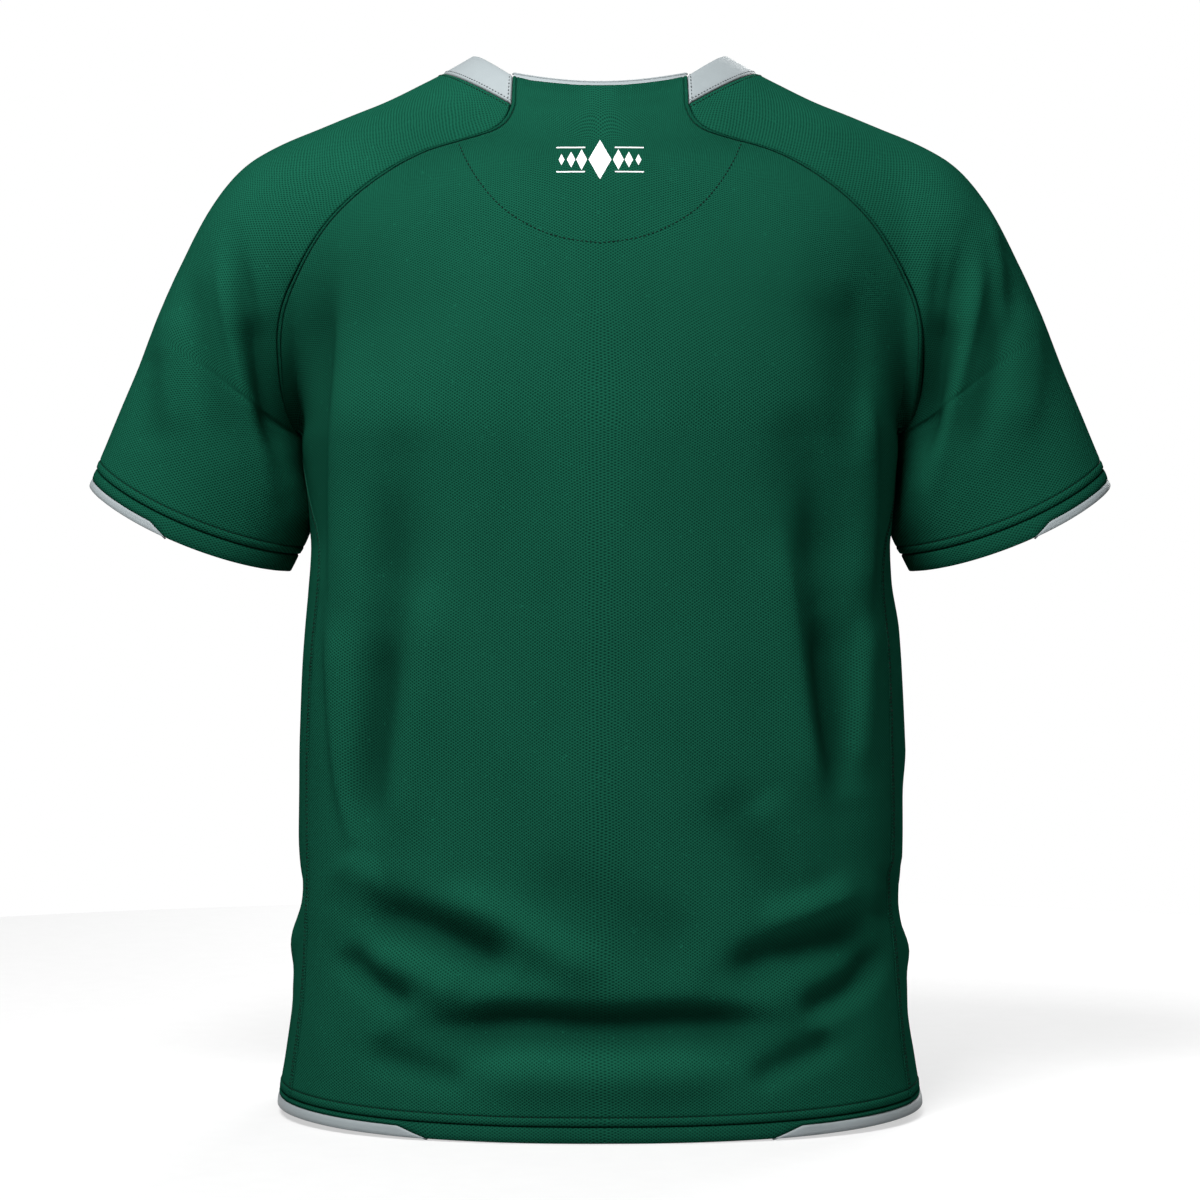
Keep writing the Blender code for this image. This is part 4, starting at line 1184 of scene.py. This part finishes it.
def finish_named(name):
    """The jersey's finishes, each made once."""
    if name in bpy.data.materials:
        return bpy.data.materials[name]
    cloth = bpy.context.scene.jersey_cloth
    green = tuple(cloth.green) + (1.0,)
    grey = tuple(cloth.grey) + (1.0,)
    if name == "jersey_knit":
        return knit_material(name, green, cloth.column_pitch, cloth.course_pitch, 0.00040, 0.70)
    if name == "jersey_band_knit":
        return knit_material(name, shade(green, 0.95), cloth.column_pitch, cloth.course_pitch, 0.00034, 0.65)
    if name == "jersey_smooth_knit":
        return smooth_knit_material(name, grey)
    if name == "green_thread":
        return thread_material(name, shade(green, 0.14))
    if name == "grey_thread":
        return thread_material(name, shade(grey, 0.30))
    if name == "white_print":
        return print_material(name, (0.80, 0.82, 0.82, 1.0))
    raise KeyError(name)


# --- settings ---
class JerseyClothSettings(bpy.types.PropertyGroup):
    thickness: bpy.props.FloatProperty(
        name="Thickness", description="Thickness of the knit", default=0.0010, min=0.0003, unit="LENGTH")
    seam_gap: bpy.props.FloatProperty(
        name="Seam Gap", description="Clearance between neighbouring pieces", default=0.0002, unit="LENGTH")
    column_pitch: bpy.props.FloatProperty(
        name="Column Pitch", description="Spacing of the knit's upright columns", default=0.00155,
        unit="LENGTH")
    course_pitch: bpy.props.FloatProperty(
        name="Course Pitch", description="Spacing of the dots in a column", default=0.0020, unit="LENGTH")
    crease_strength: bpy.props.FloatProperty(
        name="Crease Strength", description="Scale of all creases", default=1.15, min=0.0, subtype="FACTOR")
    green: bpy.props.FloatVectorProperty(
        name="Green", description="Colour of the body and the sleeves", default=(0.0060, 0.0690, 0.0405),
        subtype="COLOR", min=0.0, max=1.0)
    grey: bpy.props.FloatVectorProperty(
        name="Grey", description="Colour of the collar and the insets", default=(0.265, 0.300, 0.312),
        subtype="COLOR", min=0.0, max=1.0)


class JerseyStitchSettings(bpy.types.PropertyGroup):
    length: bpy.props.FloatProperty(
        name="Length", description="Visible length of a stitch", default=0.0021, unit="LENGTH")
    width: bpy.props.FloatProperty(
        name="Width", description="Thickness of the thread", default=0.00095, unit="LENGTH")
    spacing: bpy.props.FloatProperty(
        name="Spacing", description="Distance from stitch to stitch", default=0.0029, unit="LENGTH")
    raglan_inset: bpy.props.FloatProperty(
        name="Raglan Inset", description="Topstitch to raglan seam", default=0.0034, unit="LENGTH")
    hem_inset: bpy.props.FloatProperty(
        name="Hem Inset", description="Hem stitch to hem seam", default=0.0060, unit="LENGTH")


class JerseyPrintSettings(bpy.types.PropertyGroup):
    width: bpy.props.FloatProperty(
        name="Width", description="Width of the printed motif", default=0.0570, unit="LENGTH")
    height: bpy.props.FloatProperty(
        name="Height", description="Height of its middle lozenge", default=0.0270, unit="LENGTH")
    centre_z: bpy.props.FloatProperty(
        name="Centre Height", description="Height of the motif's centre", default=-0.0580, unit="LENGTH")
    lift: bpy.props.FloatProperty(
        name="Lift", description="Height of the print over the knit", default=0.00025, unit="LENGTH")


class JerseyStageSettings(bpy.types.PropertyGroup):
    distance: bpy.props.FloatProperty(
        name="Camera Distance", description="Camera to the jersey's middle plane", default=2.0, unit="LENGTH")
    camera_z: bpy.props.FloatProperty(
        name="Camera Height", description="Height of the camera", default=-0.345, unit="LENGTH")
    view_angle: bpy.props.FloatProperty(
        name="View Angle", description="Width of the view", default=math.radians(23.4), subtype="ANGLE")
    key: bpy.props.FloatProperty(
        name="Key Light", description="Strength of the upper soft light", default=106.0, unit="POWER")
    room: bpy.props.FloatProperty(
        name="Room Light", description="Strength of the light from all sides", default=0.10, min=0.0)


# --- operators ---
class JERSEY_OT_body(bpy.types.Operator):
    """Sew the back panel, with the grown-on nape, and the front panel"""
    bl_idname = "jersey.body"
    bl_label = "Body Panels"

    def execute(self, context):
        knit = finish_named("jersey_knit")
        spread = np.linspace(0.0, 1.0, 141)
        rows = lower_rows(1, 128, spread) + upper_rows(1, BACK_SEAM, back_rise, 66, spread)
        rows = rows + nape_rows(8, spread)
        back = Piece(rows, (HEMMED, FREE, TOPSTITCHED, TOPSTITCHED), BODY_CREASES + SIDE_CREASES,
                     pucker=PUCKER_BODY)
        sew("back_panel", back, knit)
        spread = np.linspace(0.0, 1.0, 121)
        rows = lower_rows(-1, 104, spread) + upper_rows(-1, FRONT_SEAM, front_rise, 50, spread)
        front = Piece(rows, (HEMMED, TOPSTITCHED, TOPSTITCHED, TOPSTITCHED), BODY_CREASES + SIDE_CREASES,
                      pucker=PUCKER_BODY)
        sew("front_panel", front, knit)
        return {"FINISHED"}


class JERSEY_OT_sleeves(bpy.types.Operator):
    """Sew the two raglan sleeves"""
    bl_idname = "jersey.sleeves"
    bl_label = "Raglan Sleeves"

    def execute(self, context):
        knit = finish_named("jersey_knit")
        share = np.linspace(1.0, -1.0, 111)
        rows = sleeve_rows(70, 34, share)
        flip = np.array([-1.0, 1.0, 1.0])
        borders = (JOINED, HEMMED, JOINED, JOINED)
        for side, name in ((1, "sleeve_left"), (-1, "sleeve_right")):
            creases = SLEEVE_CREASES + SLEEVE_EXTRA[side] + BODY_CREASES[0:4:2]
            sleeve = Piece(rows, borders, creases, pucker=PUCKER_SLEEVE)
            if side < 0:
                sleeve = sleeve.mirrored()
            sew(name, sleeve, knit)
        return {"FINISHED"}


class JERSEY_OT_hem(bpy.types.Operator):
    """Sew the hem bands and the grey insets at both sides"""
    bl_idname = "jersey.hem"
    bl_label = "Hem"

    def execute(self, context):
        band = finish_named("jersey_band_knit")
        plain = finish_named("jersey_smooth_knit")
        spread = np.linspace(0.0, 1.0, 181)
        for side, name in ((1, "hem_band_back"), (-1, "hem_band_front")):
            piece = Piece(hem_band_rows(side, 6, spread), (FREE, JOINED, OPEN, OPEN),
                          BODY_CREASES + SIDE_CREASES)
            sew(name, piece, band)
        inset = Piece(hem_inset_rows(4, 60), (FREE, JOINED, JOINED, JOINED), BODY_CREASES + SIDE_CREASES)
        sew("hem_inset_left", inset, plain)
        sew("hem_inset_right", inset.mirrored(), plain)
        return {"FINISHED"}


class JERSEY_OT_cuffs(bpy.types.Operator):
    """Sew the cuff bands and their grey insets"""
    bl_idname = "jersey.cuffs"
    bl_label = "Cuffs"

    def execute(self, context):
        band = finish_named("jersey_band_knit")
        plain = finish_named("jersey_smooth_knit")
        cuff = Piece(cuff_band_rows(6, 150), (JOINED, FREE, OPEN, OPEN))
        inset = Piece(cuff_inset_rows(4, 80), (JOINED, FREE, JOINED, JOINED))
        sew("cuff_band_left", cuff, band)
        sew("cuff_band_right", cuff.mirrored(), band)
        sew("cuff_inset_left", inset, plain)
        sew("cuff_inset_right", inset.mirrored(), plain)
        return {"FINISHED"}


class JERSEY_OT_collar(bpy.types.Operator):
    """Sew the grey collar bands and the facing inside the nape"""
    bl_idname = "jersey.collar"
    bl_label = "Collar"

    def execute(self, context):
        plain = finish_named("jersey_smooth_knit")
        rows = collar_rows(10, np.linspace(1.0, -1.0, 61), np.linspace(0.0, 0.5, 41))
        collar = Piece(rows, (JOINED, FREE, JOINED, JOINED), wrinkles=0.5)
        sew("collar_left", collar, plain)
        sew("collar_right", collar.mirrored(), plain)
        facing = Piece(facing_rows(6, np.linspace(0.0, 1.0, 61)), (OPEN, FREE, OPEN, OPEN), wrinkles=0.0)
        facing.outer = facing.outer - facing.normals * FACING_INSET
        sew("neck_facing", facing, plain)
        return {"FINISHED"}


class JERSEY_OT_cut(bpy.types.Operator):
    """Check that every piece, band and inset in the cut list has been sewn"""
    bl_idname = "jersey.cut"
    bl_label = "Cut Sizes"

    def execute(self, context):
        for name, size, area, added in CUTS:
            for wanted in (name,) + added:
                if wanted + "_cloth" not in SEWN:
                    raise RuntimeError("the cut list needs the piece " + wanted)
        return {"FINISHED"}


class JERSEY_OT_stitching(bpy.types.Operator):
    """Lay the topstitching along the seams and the half-moon behind the neck"""
    bl_idname = "jersey.stitching"
    bl_label = "Stitching"

    def execute(self, context):
        stitch = context.scene.jersey_stitch
        needed = ("back_panel", "front_panel", "sleeve_left", "sleeve_right", "collar_left", "collar_right")
        for name in needed:
            if name + "_cloth" not in SEWN:
                raise RuntimeError("the stitching needs the piece " + name)
        back = SEWN["back_panel_cloth"]
        front = SEWN["front_panel_cloth"]
        seams = []
        for panel, top in ((back, RAGLAN_BACK[0][1]), (front, RAGLAN_FRONT[0][1])):
            for border in (2, 3):
                seams.append(between(
                    panel.line(border, stitch.raglan_inset), UNDERARM_Z + 0.006, top - 0.003))
                seams.append(between(panel.line(border, SIDE_STITCH), HEM_SIDE_Z + 0.016, UNDERARM_Z - 0.006))
            seams.append(panel.line(0, stitch.hem_inset))
        seams.append(front.line(1, stitch.raglan_inset))
        for name in ("sleeve_left", "sleeve_right"):
            sleeve = SEWN[name + "_cloth"]
            seams.append(sleeve.line(1, stitch.hem_inset))
            seams.append(sleeve.line(0, NECK_STITCH))
        seams.append(self.half_moon(back))
        lay_stitches("topstitching", seams, finish_named("green_thread"))
        seams = []
        for name in ("collar_left", "collar_right"):
            collar = SEWN[name + "_cloth"]
            seams.append(collar.line(0, COLLAR_STITCH))
            seams.append(collar.line(2, COLLAR_STITCH))
        lay_stitches("collar_stitching", seams, finish_named("grey_thread"))
        return {"FINISHED"}

    def half_moon(self, back):
        """Points and normals of the half-moon, which hangs between the raglan seams."""
        _, x, z, _ = path(HALF_MOON, 60)
        return on_cloth(back, np.concatenate([x[::-1], -x[1:]]), np.concatenate([z[::-1], z[1:]]))


class JERSEY_OT_print(bpy.types.Operator):
    """Print the row of lozenges between two pairs of fine lines below the nape"""
    bl_idname = "jersey.print"
    bl_label = "Printed Lozenges"

    def execute(self, context):
        motif = context.scene.jersey_print
        back = SEWN["back_panel_cloth"]
        patches = []
        middle = motif.height * 0.55
        patches.append(self.lozenge(0.0, motif.centre_z, middle, motif.height))
        reach = 0.5 * motif.width
        for share, tall in ((0.42, 0.52), (0.66, 0.40), (0.88, 0.28)):
            for side in (-1.0, 1.0):
                height = tall * motif.height
                patches.append(self.lozenge(side * share * reach, motif.centre_z, height * 0.50, height))
        for side in (-1.0, 1.0):
            for level in (-0.5, 0.5):
                z = motif.centre_z + level * 0.62 * motif.height
                patches.append(self.bar(side * 0.34 * reach, side * reach, z, 0.0008))
        points = []
        faces = []
        for x, z in patches:
            place, facing = on_cloth(back, x.ravel(), z.ravel())
            rows, columns = x.shape
            add_slab(points, faces, place, facing, rows, columns, motif.lift)
        mesh = bpy.data.meshes.new("printed_lozenges")
        mesh.from_pydata(points, [], faces)
        mesh.materials.append(finish_named("white_print"))
        made = bpy.data.objects.new("printed_lozenges", mesh)
        context.scene.collection.objects.link(made)
        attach(made, "root")
        return {"FINISHED"}

    def lozenge(self, x, z, width, height):
        a, b = np.meshgrid(np.linspace(0.0, 1.0, 13), np.linspace(0.0, 1.0, 13), indexing="ij")
        return x + (a - b) * 0.5 * width, z + (a + b - 1.0) * 0.5 * height

    def bar(self, x_from, x_to, z, height):
        a, b = np.meshgrid(np.linspace(min(x_from, x_to), max(x_from, x_to), 41), (-0.5, 0.5), indexing="ij")
        return a, z + b * height


class JERSEY_OT_stage(bpy.types.Operator):
    """Set up the pale floor, the soft lights and the camera behind the jersey"""
    bl_idname = "jersey.stage"
    bl_label = "Stage"

    def execute(self, context):
        stage = context.scene.jersey_stage
        floor_z = CAD_BOUNDS[0][2] - 0.0005
        self.backdrop(floor_z)
        self.lights(stage)
        context.scene.view_settings.view_transform = "Standard"
        camera = bpy.data.cameras.new("camera")
        camera.angle = stage.view_angle
        holder = bpy.data.objects.new("camera", camera)
        holder.location = (0.0, stage.distance, stage.camera_z)
        holder.rotation_euler = (math.radians(90.0), 0.0, math.radians(180.0))
        context.scene.collection.objects.link(holder)
        context.scene.camera = holder
        return {"FINISHED"}

    def backdrop(self, floor_z):
        """Pale floor, level all round the jersey and white far away."""
        material, nodes, shader = new_material("pale_floor")
        place = nodes.add("ShaderNodeTexCoord").outputs["Object"]
        grain = nodes.add(
            "ShaderNodeTexNoise", {"Vector": place, "Scale": 60.0, "Detail": 3.0}).outputs["Fac"]
        tone = nodes.mix(grain, (0.28, 0.28, 0.28, 1.0), (0.31, 0.31, 0.31, 1.0))
        seen = nodes.add("ShaderNodeLightPath").outputs["Is Camera Ray"]
        glow = nodes.times(seen, FLOOR_GLOW)
        nodes.tree.links.new(tone, shader.inputs["Base Color"])
        nodes.tree.links.new(glow, shader.inputs["Emission Strength"])
        shader.inputs["Emission Color"].default_value = (1.0, 1.0, 1.0, 1.0)
        shader.inputs["Roughness"].default_value = 0.9
        mesh = bpy.data.meshes.new("floor")
        turns = [2.0 * math.pi * k / FLOOR_SIDES for k in range(FLOOR_SIDES)]
        rim = [(FLOOR_RADIUS * math.cos(t), FLOOR_RADIUS * math.sin(t), floor_z) for t in turns]
        mesh.from_pydata(rim, [], [tuple(range(FLOOR_SIDES))])
        mesh.materials.append(material)
        floor = bpy.data.objects.new("floor", mesh)
        bpy.context.scene.collection.objects.link(floor)

    def lights(self, stage):
        """White surroundings, one large soft light above the camera and weaker ones round it."""
        world = bpy.data.worlds.new("studio")
        world.use_nodes = True
        nodes = Nodes(world.node_tree)
        background = world.node_tree.nodes["Background"]
        background.inputs["Color"].default_value = (1.0, 1.0, 1.0, 1.0)
        seen = nodes.add("ShaderNodeLightPath").outputs["Is Camera Ray"]
        shown = nodes.times(seen, WALL_WHITE - stage.room)
        world.node_tree.links.new(nodes.plus(shown, stage.room), background.inputs["Strength"])
        bpy.context.scene.world = world
        for name, share, place, size in LIGHTS:
            light = bpy.data.lights.new(name, "AREA")
            light.energy = stage.key * share
            light.size = size
            holder = bpy.data.objects.new(name, light)
            holder.location = place
            aim = Vector((0.0, 0.0, -0.33)) - Vector(place)
            holder.rotation_euler = aim.to_track_quat("-Z", "Y").to_euler()
            bpy.context.scene.collection.objects.link(holder)


class JERSEY_PT_panel(bpy.types.Panel):
    """Lists the steps of sewing the jersey"""
    bl_idname = "JERSEY_PT_panel"
    bl_label = "Football Jersey"
    bl_space_type = "VIEW_3D"
    bl_region_type = "UI"
    bl_category = "Jersey"

    def draw(self, context):
        for group in (context.scene.jersey_cloth, context.scene.jersey_stitch,
                      context.scene.jersey_print, context.scene.jersey_stage):
            box = self.layout.box()
            for key in group.__annotations__:
                box.prop(group, key)
        for step in STEPS:
            self.layout.operator(step.bl_idname)


GROUPS = {
    "jersey_cloth": JerseyClothSettings,
    "jersey_stitch": JerseyStitchSettings,
    "jersey_print": JerseyPrintSettings,
    "jersey_stage": JerseyStageSettings,
}
STEPS = (
    JERSEY_OT_body,
    JERSEY_OT_sleeves,
    JERSEY_OT_hem,
    JERSEY_OT_cuffs,
    JERSEY_OT_collar,
    JERSEY_OT_cut,
    JERSEY_OT_stitching,
    JERSEY_OT_print,
    JERSEY_OT_stage,
)


def register():
    for name, group in GROUPS.items():
        bpy.utils.register_class(group)
        setattr(bpy.types.Scene, name, bpy.props.PointerProperty(type=group))
    for step in STEPS:
        bpy.utils.register_class(step)
    bpy.utils.register_class(JERSEY_PT_panel)


def unregister():
    bpy.utils.unregister_class(JERSEY_PT_panel)
    for step in reversed(STEPS):
        bpy.utils.unregister_class(step)
    for name, group in reversed(GROUPS.items()):
        delattr(bpy.types.Scene, name)
        bpy.utils.unregister_class(group)


def main():
    register()
    for step in STEPS:
        group, action = step.bl_idname.split(".")
        getattr(getattr(bpy.ops, group), action)()


if __name__ == "__main__":
    main()
